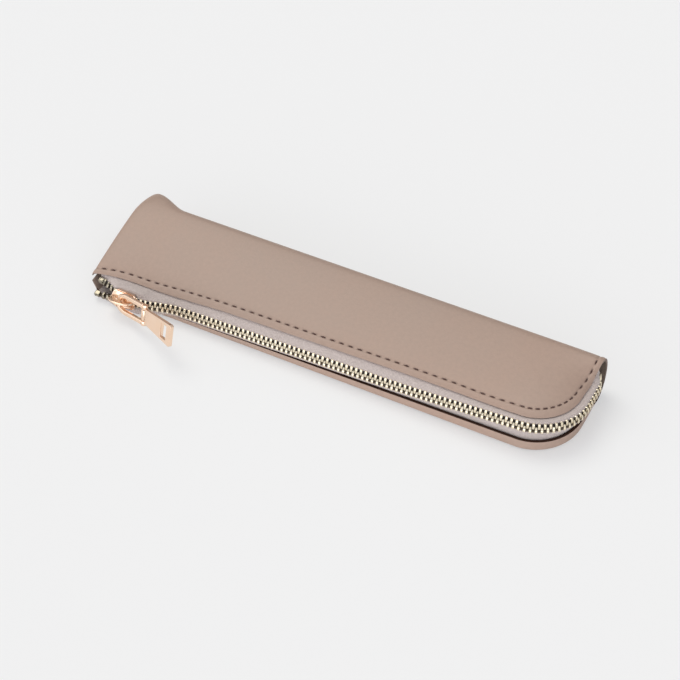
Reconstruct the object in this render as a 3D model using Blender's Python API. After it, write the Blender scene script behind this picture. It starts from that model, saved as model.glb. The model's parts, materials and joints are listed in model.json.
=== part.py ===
"""Slim zipped pen case, folded from one piece of leather. Metres, +Z up.

The case lies on its flat bottom panel. X runs along the length from the sewn left end to the
rounded right end, and Y runs from the zip at the front to the fold at the back. The origin is
on the bottom panel's underside, midway between the two ends and under the middle of the width.
"""
import math

import bmesh
import bpy
import numpy as np
from mathutils import Matrix

# Outline of the case in plan
LEFT_END_X = -0.1045
RIGHT_CHAIN_X = 0.1038
FRONT_CHAIN_Y = -0.0219
CORNER_RADIUS = 0.0200
FOLD_START_Y = 0.0155
FOLD_REACH = 0.0070
BACK_THICKNESS = 0.0210

# Leather
LEATHER_THICKNESS = 0.0011
EDGE_INSET_FRONT = 0.0030
EDGE_INSET_RIGHT = 0.0013
EDGE_ABOVE_CHAIN = 0.0042
EDGE_ABOVE_CHAIN_CORNER = 0.0032
EDGE_FLARE = 0.0029
EDGE_FLARE_LENGTH = 0.0260
MARGIN_RISE = 0.0013
MARGIN_FALLOFF_FRONT = 0.0020
MARGIN_FALLOFF_RIGHT = 0.0046
PANEL_CROWN = 1.35
RIGHT_EDGE_LIFT_FROM_Y = 0.0050
RIGHT_EDGE_LIFT_TO_Y = 0.0170
RIGHT_EDGE_END_Y = 0.0100
FAN_LENGTH = 0.0440
FAN_SLANT_LIMIT = 0.35

# Lip of the bottom panel, turned up along the zip
LIP_OUTSET_FRONT = 0.0006
LIP_INSET_RIGHT = 0.0010
LIP_HEIGHT_MIDDLE = 0.0030
LIP_HEIGHT_RIGHT = 0.0050
LIP_FLAT_LENGTH = 0.0235
LIP_FULL_START = 0.0395
LIP_FADE_FROM_Y = -0.0080
LIP_FADE_TO_Y = 0.0090
LIP_CURL = 0.0034
LIP_BEND_HEIGHT = 0.0012
LIP_CURLED_FROM_HEIGHT = 0.0025

# Sewn left end
SEAM_HEIGHT_FRONT = 0.0053
SEAM_HEIGHT_BACK = 0.0130
SEAM_HALF_THICKNESS = 0.00155
END_ROUNDING = 0.0070
END_ROUNDING_POWER = 3.0
EAR_ROUNDING = 0.0160
EAR_ROUNDING_POWER = 2.08
EAR_FOLD_POWER = 4.0
END_WALL_SHARE = 0.8
END_WALL_EASE = 0.0004
END_WALL_LENGTH = 0.0130
EAR_WALL_SHARE = 0.5
EAR_REACH = 0.00515
EAR_LENGTH = 0.0200
EAR_FROM_Y = 0.0103

# Zip chain and tapes
CHAIN_HEIGHT_LEFT = 0.0049
CHAIN_HEIGHT_RIGHT = 0.0106
CORNER_LIFT = 0.0021
CORNER_LIFT_LENGTH = 0.0560
CHAIN_TILT_FRONT = math.radians(68.0)
CHAIN_TILT_RIGHT = math.radians(84.0)
BULGE_OUT = 0.0030
BULGE_START = 0.0415
BULGE_FULL = 0.0245
MOUTH_BULGE_OUT = 0.0026
MOUTH_SPREAD = 0.214
MOUTH_LOWER_SHARE = 0.66
MOUTH_EASE_POWER = 1.6
MOUTH_TILT = math.radians(45.0)
MOUTH_TILT_UPPER = math.radians(10.0)
MOUTH_TILT_LOWER = math.radians(105.0)
TAPE_THICKNESS = 0.0006
TAPE_TO_TOOTH = 0.0019
TAPE_STRAIGHT = 0.0024
TAPE_STRAIGHT_AT_SLIDER = 0.0041
TAPE_HIDDEN_WIDTH = 0.0060
TAPE_SLACK = 0.00045
TAPE_CLEAR = 0.0001
TAPE_EASE_START = 0.0012
TAPE_EASE_LENGTH = 0.0050
TAPE_TURN_DEPTH = 0.0030
TAPE_MOUTH_TURN = 0.0009
TAPE_OVER_LIP = 0.0007
TAPE_FLOOR_TURN = 0.0015
TAPE_FLOOR_RUN = 0.0050
TAPE_FLOOR_START = 0.0035
TAPE_BEHIND_LIP = 0.0040
TAPE_BULGE_FROM = 0.0002
TAPE_BULGE_OVER = 0.0010
TOOTH_PITCH = 0.00209
TOOTH_FOOT_WIDTH = 0.00105
TOOTH_HEAD_WIDTH = 0.00075
TOOTH_REACH = 0.0016
TOOTH_OVERLAP = 0.00042
CHAIN_THICKNESS = 0.0021
ZIP_START = 0.0035
ZIP_TUCK = 0.0022
ZIP_TUCK_FROM_Y = 0.0090
ZIP_END_Y = 0.0155
CORD_WIDTH = 0.0006
CORD_THICKNESS = 0.0009
STOP_LENGTH = 0.0024
STOP_WIDTH = 0.0018
STOP_THICKNESS = 0.0021

# Lining
LINING_THICKNESS = 0.0004
LINING_START = 0.0085
LINING_SETBACK = 0.0096

# Stitching
STITCH_PITCH = 0.0040
STITCH_LENGTH = 0.0019
STITCH_WIDTH = 0.0007
STITCH_HEIGHT = 0.00035
STITCH_FROM_EDGE = 0.0027
STITCH_END_SHARE = 0.4
STITCH_TOP_SHARE = 0.6
LIP_STITCH_DEPTH = 0.00058
LIP_STITCH_HEIGHT = 0.00085
LIP_STITCH_TILT = math.radians(42.0)
UPPER_ROW_START = 0.0030
UPPER_ROW_END_Y = 0.0155
LOWER_ROW_START = 0.0385
LOWER_ROW_END_Y = -0.0020
END_SEAM_INSET = 0.0004
END_SEAM_SETBACK = 0.0040

# Slider
SLIDER_START = 0.0180
SLIDER_LENGTH = 0.0110
SPLIT_SETBACK = 0.0008
SLIDER_NOSE_SHARE = 0.55
SLIDER_REAR_CHAMFER = 0.15
SLIDER_NOSE_HALF_WIDTH = 0.0038
SLIDER_REAR_HALF_WIDTH = 0.0031
WING_THICKNESS = 0.0009
WING_SLOT = 0.0015
FLANGE_WIDTH = 0.0006
SLIDER_END_SETBACK = 0.0058
SLIDE_END_DROP = 0.0006
WEDGE_START = 0.0002
WEDGE_HALF_WIDTH = 0.00035
WEDGE_LENGTH = 0.0014
JOIN_DEPTH = 0.0002
JOIN_STEP = 0.00002
CROWN_HALF_WIDTH = 0.0014
CROWN_THICKNESS = 0.0009
CROWN_ROOM = 0.0014
CROWN_NOSE_SETBACK = 0.0002
CROWN_REAR = 0.0048
CROWN_NOSE_FOOT = 0.0016
CROWN_REAR_FOOT = 0.0010
CROWN_TOP_START = 0.0060

# Pull: link, pin and tab
LINK_PIVOT_FORWARD = -0.0001
LINK_PIVOT_ROOM = 0.0009
LINK_ROD_RADIUS = 0.00090
LINK_LENGTH = 0.0156
LINK_HALF_WIDTH = 0.00340
LINK_BIGHT_HALF_WIDTH = 0.0023
LINK_TAPER_LENGTH = 0.0026
EYE_RADIUS = 0.0012
LINK_SWING = math.radians(19.0)
TAB_SWING = math.radians(30.0)
TAB_LENGTH = 0.0216
TAB_THICKNESS = 0.0015
TAB_SHOULDER_HALF_WIDTH = 0.0031
TAB_END_HALF_WIDTH = 0.0046
TAB_CORNER = 0.0008
TAB_HEEL_LENGTH = 0.0018
TAB_NECK_LENGTH = 0.0017
TAB_NECK_CHAMFER = 0.0002
TAB_WINDOW_LENGTH = 0.0042
TAB_WINDOW_HALF_WIDTH = 0.0030
TAB_END_BAR = 0.0031
BARREL_RADIUS = 0.0011
PIN_RADIUS = 0.00040
PIN_CLEARANCE = 0.00025
PIN_END_SETBACK = 0.0001
ROUND_SIDES = 12
ROD_SIDES = 8

# Gap kept between pieces that touch
GAP = 0.0003

# Lengths that follow from the outline
STRAIGHT_RUN = RIGHT_CHAIN_X - CORNER_RADIUS - LEFT_END_X
CORNER_X = RIGHT_CHAIN_X - CORNER_RADIUS
CORNER_Y = FRONT_CHAIN_Y + CORNER_RADIUS
ARC_RUN = CORNER_RADIUS * math.pi / 2
RIGHT_LEATHER_X = RIGHT_CHAIN_X - EDGE_INSET_RIGHT
CHANNEL_HALF = CHAIN_THICKNESS / 2 + GAP
WING_FACE = CHANNEL_HALF + WING_THICKNESS
LINK_PIVOT_OUT = WING_FACE + GAP + LINK_ROD_RADIUS + LINK_PIVOT_ROOM
SLIDER_END_X = CORNER_X - SLIDER_END_SETBACK
EAR_TIP_Y = FOLD_START_Y + FOLD_REACH + EAR_REACH
BORE_RADIUS = PIN_RADIUS + PIN_CLEARANCE
TAB_NECK_HALF_WIDTH = LINK_HALF_WIDTH - LINK_ROD_RADIUS - GAP


def smooth(value):
    """Ease from 0 to 1, flat at both ends."""
    value = min(max(value, 0.0), 1.0)
    return value * value * (3 - 2 * value)


def blend(first, second, share):
    return first + (second - first) * share


# The zip's path in plan: straight along the front, round the corner, up the right end

def path_point(s):
    """Plan point and inward direction at the distance s from the left end."""
    if s <= STRAIGHT_RUN:
        return np.array([LEFT_END_X + s, FRONT_CHAIN_Y]), np.array([0.0, 1.0])
    if s <= STRAIGHT_RUN + ARC_RUN:
        turn = (s - STRAIGHT_RUN) / CORNER_RADIUS
        inward = np.array([-math.sin(turn), math.cos(turn)])
        return np.array([CORNER_X, CORNER_Y]) - CORNER_RADIUS * inward, inward
    rise = s - STRAIGHT_RUN - ARC_RUN
    return np.array([RIGHT_CHAIN_X, CORNER_Y + rise]), np.array([-1.0, 0.0])


def path_at_y(y):
    """Distance along the path of the point with this y on the right end."""
    return STRAIGHT_RUN + ARC_RUN + y - CORNER_Y


def nearest_on_path(x, y):
    """Distance along the path and inward depth of a plan point."""
    if x > CORNER_X and y < CORNER_Y:
        away = np.array([x - CORNER_X, y - CORNER_Y])
        turn = math.atan2(away[0], -away[1])
        return STRAIGHT_RUN + turn * CORNER_RADIUS, CORNER_RADIUS - np.linalg.norm(away)
    front = y - FRONT_CHAIN_Y
    right = RIGHT_CHAIN_X - x
    if y > CORNER_Y and right < front:
        return path_at_y(y), right
    return x - LEFT_END_X, front


def turned(s):
    """0 on the front run, 1 on the right end, easing round the corner."""
    return smooth((s - STRAIGHT_RUN) / ARC_RUN)


def near_corner(s):
    """0 along most of the front, easing to 1 by the middle of the corner."""
    from_start = s - STRAIGHT_RUN + CORNER_LIFT_LENGTH
    return smooth(from_start / (CORNER_LIFT_LENGTH + ARC_RUN / 2))


def chain_height(s):
    climb = blend(CHAIN_HEIGHT_LEFT, CHAIN_HEIGHT_RIGHT, min(s / STRAIGHT_RUN, 1.0))
    return climb + CORNER_LIFT * near_corner(s)


def chain_tilt(s):
    return blend(CHAIN_TILT_FRONT, CHAIN_TILT_RIGHT, turned(s))


def mouth_share(s):
    """0 at the slider's nose and to its right, rising to 1 at the zip's open left end."""
    nose = SLIDER_START - SLIDER_LENGTH / 2
    share = min(max((nose - s) / (nose - ZIP_START), 0.0), 1.0)
    return 1 - (1 - share) ** MOUTH_EASE_POWER


def bulge(s):
    """How far the chain hangs outwards near the open left end."""
    share = smooth((BULGE_START - s) / (BULGE_START - BULGE_FULL))
    return blend(BULGE_OUT, MOUTH_BULGE_OUT, mouth_share(s)) * share


def tuck(s):
    """How far the chain has turned inwards at the right end, inside the fold."""
    y = CORNER_Y + s - STRAIGHT_RUN - ARC_RUN
    return ZIP_TUCK * smooth((y - ZIP_TUCK_FROM_Y) / (ZIP_END_Y - ZIP_TUCK_FROM_Y))


def mouth_half_gap(s):
    """Half the distance between the two rows of teeth, open to the left of the slider."""
    return MOUTH_SPREAD * max(0.0, SLIDER_START - SPLIT_SETBACK - s)


def tilted(inward, tilt):
    """Outward face and downward direction of a plane that leans back from the vertical."""
    outward = np.array([-inward[0], -inward[1], 0.0])
    vertical = np.array([0.0, 0.0, 1.0])
    face = outward * math.sin(tilt) + vertical * math.cos(tilt)
    down = outward * math.cos(tilt) - vertical * math.sin(tilt)
    return face, down


def chain_frame(s):
    """Centre of the chain, and the outward and downward directions of its plane."""
    point, inward = path_point(s)
    centre = point + inward * (tuck(s) - bulge(s))
    face, down = tilted(inward, blend(chain_tilt(s), MOUTH_TILT, mouth_share(s)))
    return np.array([centre[0], centre[1], chain_height(s)]), face, down


def row_point(s, side, across, face_out=0.0):
    """Point on a row of teeth: side is -1 for the upper row and 1 for the lower."""
    centre, _, apart = chain_frame(s)
    _, inward = path_point(s)
    open_tilt = MOUTH_TILT_LOWER if side > 0 else MOUTH_TILT_UPPER
    face, down = tilted(inward, blend(chain_tilt(s), open_tilt, mouth_share(s)))
    opened = mouth_half_gap(s)
    if side > 0:
        opened *= blend(1.0, MOUTH_LOWER_SHARE, mouth_share(s))
    return centre + side * (apart * opened + down * across) + face * face_out


# Leather surface: heights over the plan

def front_edge_height(s):
    return chain_height(s) + blend(EDGE_ABOVE_CHAIN, EDGE_ABOVE_CHAIN_CORNER, near_corner(s))


def edge_height(s):
    """Height of the top panel's cut edge, which climbs into the fold at the right end."""
    height = front_edge_height(s)
    y = CORNER_Y + s - STRAIGHT_RUN - ARC_RUN
    lift = smooth((y - RIGHT_EDGE_LIFT_FROM_Y) / (RIGHT_EDGE_LIFT_TO_Y - RIGHT_EDGE_LIFT_FROM_Y))
    return blend(height, BACK_THICKNESS, lift)


def edge_inset(s):
    """Inward distance of the top panel's cut edge from the chain's path."""
    flare = EDGE_FLARE * max(0.0, 1 - s / EDGE_FLARE_LENGTH) ** 2
    return blend(EDGE_INSET_FRONT, EDGE_INSET_RIGHT, turned(s)) - flare


def panel_height(x, y):
    """Height of the top panel before its edges are drawn down."""
    s = min(max(x - LEFT_END_X, 0.0), STRAIGHT_RUN)
    front = front_edge_height(s) + MARGIN_RISE
    start = FRONT_CHAIN_Y + EDGE_INSET_FRONT
    share = min(max((y - start) / (FOLD_START_Y - start), 0.0), 1.0)
    return front + (BACK_THICKNESS - front) * (1 - (1 - share) ** PANEL_CROWN)


def top_height(x, y):
    s, depth = nearest_on_path(x, y)
    inside = max(depth - edge_inset(s), 0.0)
    falloff = blend(MARGIN_FALLOFF_FRONT, MARGIN_FALLOFF_RIGHT, turned(s))
    full = panel_height(x, y)
    return full - (full - edge_height(s)) * math.exp(-inside / falloff)


def lip_height(s):
    rise = smooth((s - LIP_FLAT_LENGTH) / (LIP_FULL_START - LIP_FLAT_LENGTH))
    along = min(max((s - LIP_FULL_START) / (STRAIGHT_RUN - LIP_FULL_START), 0.0), 1.0)
    y = CORNER_Y + s - STRAIGHT_RUN - ARC_RUN
    fade = 1 - smooth((y - LIP_FADE_FROM_Y) / (LIP_FADE_TO_Y - LIP_FADE_FROM_Y))
    return blend(LIP_HEIGHT_MIDDLE, LIP_HEIGHT_RIGHT, along) * rise * fade


def lip_inset(s):
    return blend(-LIP_OUTSET_FRONT, LIP_INSET_RIGHT, turned(s))


def lip_profile(s):
    """Inward distance and height of the outer face of the lip, from the floor to its edge."""
    height = lip_height(s)
    curl = min(1.0, height / LIP_CURLED_FROM_HEIGHT)
    flat = [1.0, 0.8, 0.6, 0.4, 0.2, 0.0]
    curled = [1.0, 0.56, 0.27, 0.08, 0.0, 0.0]
    bend = LIP_BEND_HEIGHT * curl
    heights = [0.0, 0.1 * bend, 0.4 * bend, bend, (bend + height) / 2, height]
    profile = []
    for far, near, rise in zip(flat, curled, heights):
        profile.append((LIP_CURL * blend(far, near, curl), rise))
    return profile


def seam_height(y):
    """Height of the sewn left end's seam, which climbs from the zip to the ear."""
    share = (y - FRONT_CHAIN_Y) / (EAR_TIP_Y - FRONT_CHAIN_Y)
    return blend(SEAM_HEIGHT_FRONT, SEAM_HEIGHT_BACK, share)


def close_left_end(point, full_height, half_thickness=SEAM_HALF_THICKNESS, wall=0.0):
    """Draw a point near the left end towards the seam, and the fold out into the ear.

    full_height is the height of the sheet over the same plan point, away from the end. The
    seam is half_thickness thick there to either side, and wall sets the end's face back.
    """
    x, y, z = point
    from_end = x - LEFT_END_X
    if from_end >= EAR_LENGTH:
        return point
    toward_fold = smooth((y - EAR_FROM_Y) / (FOLD_START_Y + FOLD_REACH - EAR_FROM_Y))
    reach_out = EAR_REACH - wall * EAR_WALL_SHARE
    y = y + reach_out * smooth(1 - from_end / EAR_LENGTH) * toward_fold
    seam = seam_height(y)
    rounding = blend(END_ROUNDING, EAR_ROUNDING, toward_fold)
    reach = min(max(1 - from_end / rounding, 0.0), 1.0)
    power = blend(END_ROUNDING_POWER, EAR_ROUNDING_POWER, toward_fold)
    round_share = (1 - reach ** power) ** (1 / power)
    half = max(abs(full_height - seam), half_thickness)
    keep = half_thickness / half
    z = seam + (z - seam) * (keep + (1 - keep) * round_share)
    set_back = smooth(from_end / END_WALL_EASE) * max(0.0, 1 - from_end / END_WALL_LENGTH)
    x = x + wall * set_back
    return np.array([x, y, z])


# Leather sheet: columns of points from the top edge, over the fold, to the lip

def fold_x(s, last):
    """Where the column that starts at s meets the fold."""
    fan_start = STRAIGHT_RUN - FAN_LENGTH
    if s <= fan_start:
        return LEFT_END_X + s
    share = (s - fan_start) / (last - fan_start)
    return blend(LEFT_END_X + fan_start, RIGHT_LEATHER_X, share)


def fan_line(s, inset, last):
    """Start, unit direction and length of a column's plan line from the edge to the fold."""
    point, inward = path_point(s)
    start = point + inward * inset
    end = np.array([fold_x(s, last), FOLD_START_Y])
    length = np.linalg.norm(end - start)
    direction = (end - start) / length
    slant = max(FAN_SLANT_LIMIT, float(np.dot(direction, inward)))
    return start, direction, length, slant


def fan_distances(depths, length, slant, rest):
    """Distances along a column: fixed depths first, then an even split of the rest."""
    fixed = []
    for index, depth in enumerate(depths):
        fixed.append(min(depth / slant, 0.6 * length * (index + 1) / len(depths)))
    last = fixed[-1] if fixed else 0.0
    return fixed + [blend(last, length, (k + 1) / rest) for k in range(rest)]


def sheet_column(s, last, top_depths, bottom_depths, setback=None, rest=4, fold_steps=6):
    """One column of the leather's outer face: points, and the sheet's full height at each.

    The column runs from the top edge over the fold to the lip, or between lines set back
    from both edges.
    """
    points = []
    heights = []
    top_inset = edge_inset(s) + (setback or 0.0)
    start, direction, length, slant = fan_line(s, top_inset, last)
    for distance in [0.0] + fan_distances(top_depths, length, slant, rest):
        x, y = start + direction * distance
        points.append((x, y, top_height(x, y)))
        heights.append(top_height(x, y))

    x = start[0] + direction[0] * length
    sharpness = blend(2.0, EAR_FOLD_POWER, smooth(1 - (x - LEFT_END_X) / EAR_LENGTH))
    half = top_height(x, FOLD_START_Y) / 2
    for k in range(1, fold_steps):
        angle = math.pi / 2 - math.pi * k / fold_steps
        cosine = math.cos(angle)
        sine = math.sin(angle)
        y = FOLD_START_Y + FOLD_REACH * cosine ** (2 / sharpness)
        points.append((x, y, half + math.copysign(half * abs(sine) ** (2 / sharpness), sine)))
        heights.append(2 * half if sine >= 0 else 0.0)

    bottom_inset = lip_inset(s) + (setback or 0.0)
    start, direction, length, slant = fan_line(s, bottom_inset, last)
    under = fan_distances(bottom_depths, length, slant, rest)
    profile = [(0.0, 0.0)] if setback else lip_profile(s)
    for distance in reversed(under):
        x, y = start + direction * distance
        points.append((x, y, 0.0))
    for depth, z in profile:
        reach = min(depth / slant, FAN_SLANT_LIMIT * length * depth / LIP_CURL)
        x, y = start + direction * reach
        points.append((x, y, z))
    heights += [0.0] * (len(points) - len(heights))
    return points, heights


def column_positions(first, last):
    """Places of the columns: close together at the left end and round the corner."""
    near_end = [0.0, 0.0004, 0.0011, 0.0022, 0.0040, 0.0065, 0.0095, 0.0130, 0.0180, 0.0250]
    front = [0.0250 + k * (STRAIGHT_RUN - 0.0250) / 10 for k in range(1, 11)]
    corner = [STRAIGHT_RUN + ARC_RUN * k / 7 for k in range(1, 8)]
    side_start = STRAIGHT_RUN + ARC_RUN
    side = [side_start + (last - side_start) * k / 3 for k in range(1, 4)]
    places = [first]
    for s in near_end + front + corner + side:
        if places[-1] + 0.00035 < s <= last:
            places.append(s)
    return places


# Mesh helpers

def make_material(name, color, roughness, metallic=0.0):
    material = bpy.data.materials.new(name)
    material.use_nodes = True
    shader = material.node_tree.nodes["Principled BSDF"]
    shader.inputs["Base Color"].default_value = (*color, 1.0)
    shader.inputs["Roughness"].default_value = roughness
    shader.inputs["Metallic"].default_value = metallic
    return material


def unit_steps(grid, axis):
    """Direction of a grid of points along one axis, averaged over both neighbours."""
    steps = np.diff(grid, axis=axis)
    steps /= np.linalg.norm(steps, axis=2, keepdims=True)
    first = np.take(steps, [0], axis=axis)
    last = np.take(steps, [-1], axis=axis)
    mean = np.concatenate([first, steps], axis=axis) + np.concatenate([steps, last], axis=axis)
    return mean / np.linalg.norm(mean, axis=2, keepdims=True)


def sheet_face(columns, depth):
    """The grid of a sheet's face at a depth below the leather's outer face, ends closed."""
    grid = np.array([points for points, _ in columns])
    heights = np.array([full for _, full in columns])
    normals = np.cross(unit_steps(grid, 0), unit_steps(grid, 1))
    normals /= np.linalg.norm(normals, axis=2, keepdims=True)
    grid = grid - normals * depth
    heights = np.where(heights > 0, heights - depth, depth)
    half_thickness = SEAM_HALF_THICKNESS - depth
    closed = [
        [close_left_end(point, full, half_thickness, depth * END_WALL_SHARE)
         for point, full in zip(*column)]
        for column in zip(grid, heights)
    ]
    return np.array(closed)


def add_sheet(name, outer, inner, material):
    """A sheet of leather or cloth between two grids of points, closed round its rim."""
    grid = np.array(outer)
    columns, rows = grid.shape[:2]
    vertices = list(grid.reshape(-1, 3)) + list(np.array(inner).reshape(-1, 3))
    below = columns * rows
    faces = []
    for i in range(columns - 1):
        for j in range(rows - 1):
            here = i * rows + j
            quad = (here, here + rows, here + rows + 1, here + 1)
            faces.append(quad)
            faces.append(tuple(below + k for k in reversed(quad)))
    rim = [i * rows for i in range(columns)]
    rim += [(columns - 1) * rows + j for j in range(1, rows)]
    rim += [i * rows + rows - 1 for i in range(columns - 2, -1, -1)]
    rim += list(range(rows - 2, 0, -1))
    for here, there in zip(rim, rim[1:] + rim[:1]):
        faces.append((there, here, below + here, below + there))
    return add_solid(name, (vertices, faces), material)


def sweep_loops(loops):
    """Vertices and faces of a closed bar that runs through a list of equal closed loops."""
    count = len(loops[0])
    vertices = [point for loop in loops for point in loop]
    faces = []
    for i in range(len(loops) - 1):
        for j in range(count):
            here = i * count + j
            beside = i * count + (j + 1) % count
            faces.append((here, beside, beside + count, here + count))
    faces.append(tuple(reversed(range(count))))
    faces.append(tuple(range((len(loops) - 1) * count, len(loops) * count)))
    return vertices, faces


def add_solid(name, solid, material, smooth_angle=40.0):
    """One closed solid as an object, its faces turned outwards."""
    mesh = bpy.data.meshes.new(name)
    vertices, faces = solid
    builder = bmesh.new()
    made = [builder.verts.new(tuple(map(float, v))) for v in vertices]
    for face in faces:
        builder.faces.new([made[k] for k in face])
    bmesh.ops.recalc_face_normals(builder, faces=builder.faces)
    builder.to_mesh(mesh)
    builder.free()
    mesh.materials.append(material)
    mesh.shade_smooth()
    mesh.set_sharp_from_angle(angle=math.radians(smooth_angle))
    piece = bpy.data.objects.new(name, mesh)
    bpy.context.collection.objects.link(piece)
    return piece


def strip_loop(points, thickness):
    """Closed outline of a thin strip whose middle line is a list of 2-D points."""
    line = np.array(points)
    steps = np.diff(line, axis=0)
    steps /= np.linalg.norm(steps, axis=1, keepdims=True)
    before = np.vstack([steps[:1], steps])
    after = np.vstack([steps, steps[-1:]])
    middle = before + after
    middle /= np.linalg.norm(middle, axis=1, keepdims=True)
    cosine = np.maximum(np.sum(middle * after, axis=1, keepdims=True), 0.55)
    sideways = np.stack([-middle[:, 1], middle[:, 0]], axis=1) * thickness / 2 / cosine
    return list(line + sideways) + list(reversed(list(line - sideways)))


# The pieces

def build_leather(material):
    last = path_at_y(RIGHT_EDGE_END_Y)
    columns = [
        sheet_column(s, last, (0.0012, 0.0027, 0.0055), (0.0070,))
        for s in column_positions(0.0, last)
    ]
    outer = sheet_face(columns, 0.0)
    add_sheet("leather_shell", outer, sheet_face(columns, LEATHER_THICKNESS), material)


def build_lining(material):
    last = path_at_y(RIGHT_EDGE_END_Y)
    columns = [
        sheet_column(s, last, (), (), LINING_SETBACK)
        for s in column_positions(LINING_START, STRAIGHT_RUN + ARC_RUN)
    ]
    outer = sheet_face(columns, LEATHER_THICKNESS + GAP)
    inner = sheet_face(columns, LEATHER_THICKNESS + GAP + LINING_THICKNESS)
    add_sheet("lining", outer, inner, material)


def tape_positions():
    """Places of the tapes' sections, closer together near the mouth and round the corner."""
    first = ZIP_START
    corner_end = STRAIGHT_RUN + ARC_RUN
    last = path_at_y(ZIP_END_Y)
    runs = [(first, BULGE_START, 16), (BULGE_START, STRAIGHT_RUN, 10),
            (STRAIGHT_RUN, corner_end, 7), (corner_end, last, 5)]
    places = [first]
    for start, end, count in runs:
        places += [blend(start, end, (k + 1) / count) for k in range(count)]
    return places


def tape_straight(s):
    """How far from the middle the tape stays in the chain's plane; further in the slider."""
    from_slider = abs(s - SLIDER_START) - SLIDER_LENGTH / 2
    near_slider = TAPE_STRAIGHT_AT_SLIDER - mouth_half_gap(s)
    straight = blend(near_slider, TAPE_STRAIGHT, smooth((from_slider - TAPE_EASE_START) / TAPE_EASE_LENGTH))
    return max(straight, TAPE_STRAIGHT)


def section_of(s, world):
    """Inward distance and height of a world point in the section at s."""
    point, inward = path_point(s)
    return np.array([float(np.dot(world[:2] - point, inward)), world[2]])


def leather_point(s, inset):
    """Point on the top panel's outer face at an inward distance from the path."""
    point, inward = path_point(s)
    x, y = point + inward * inset
    full = top_height(x, y)
    return close_left_end(np.array([x, y, full]), full)


def upper_tape_line(s):
    """Middle line of the upper tape in the section at s: teeth first, hidden end last."""
    line = [section_of(s, row_point(s, -1, TAPE_TO_TOOTH)),
            section_of(s, row_point(s, -1, tape_straight(s)))]
    under = LEATHER_THICKNESS + GAP + TAPE_THICKNESS / 2
    step = 0.0004
    turn = TAPE_MOUTH_TURN * mouth_share(s)
    for depth, slack in ((turn, TAPE_CLEAR), (TAPE_TURN_DEPTH, 0.0), (TAPE_HIDDEN_WIDTH, 0.0)):
        inset = edge_inset(s) + depth
        here = section_of(s, leather_point(s, inset))
        there = section_of(s, leather_point(s, inset + step))
        slope = math.atan2(there[1] - here[1], there[0] - here[0])
        drop = under + slack
        line.append(here + np.array([drop * math.sin(slope) + tuck(s), -drop * math.cos(slope)]))
    return line


def lower_tape_line(s):
    """Middle line of the lower tape in the section at s: teeth first, hidden end last.

    Along the middle it passes from the teeth straight behind the lip. Where the chain bulges
    out it crosses over the lip, and beside the slider it turns along the floor first.
    """
    half = TAPE_THICKNESS / 2
    touch = GAP + half + TAPE_CLEAR
    height = lip_height(s)
    point, inward = path_point(s)
    x, y = point + inward * lip_inset(s)
    panel = close_left_end(np.array([x, y, 0.0]), 0.0)[2] + LEATHER_THICKNESS
    low = panel + touch
    rim = height + panel - LEATHER_THICKNESS * min(1.0, height / LIP_CURLED_FROM_HEIGHT)
    inset = lip_inset(s) + tuck(s)
    bend = section_of(s, row_point(s, 1, tape_straight(s)))
    behind = np.array([inset + LEATHER_THICKNESS + GAP + half, max(low, rim + TAPE_SLACK)])
    out_share = smooth((bulge(s) - TAPE_BULGE_FROM) / TAPE_BULGE_OVER)
    over = np.array([inset - TAPE_OVER_LIP, rim + touch])
    floor_share = smooth((BULGE_FULL + TAPE_FLOOR_START - s) / TAPE_FLOOR_RUN)
    floor = half + TAPE_CLEAR
    first = blend(blend(bend, behind, 1 / 3), (bend + over) / 2, out_share)
    second = blend(blend(bend, behind, 2 / 3), over, out_share)
    first = blend(first, np.array([bend[0] + TAPE_OVER_LIP, floor]), floor_share)
    second = blend(second, np.array([inset - TAPE_FLOOR_TURN, floor]), floor_share)
    third = blend(behind, np.array([inset + TAPE_CLEAR, rim + touch]), floor_share)
    return [section_of(s, row_point(s, 1, TAPE_TO_TOOTH)), bend, first, second, third,
            np.array([inset + TAPE_BEHIND_LIP, low]),
            np.array([inset + TAPE_HIDDEN_WIDTH, low])]


def add_tape(name, line_at, material):
    loops = []
    for s in tape_positions():
        point, inward = path_point(s)
        loop = []
        for inset, height in strip_loop(line_at(s), TAPE_THICKNESS):
            x, y = point + inward * inset
            loop.append(np.array([x, y, height]))
        loops.append(loop)
    add_solid(name, sweep_loops(loops), material)


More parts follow.
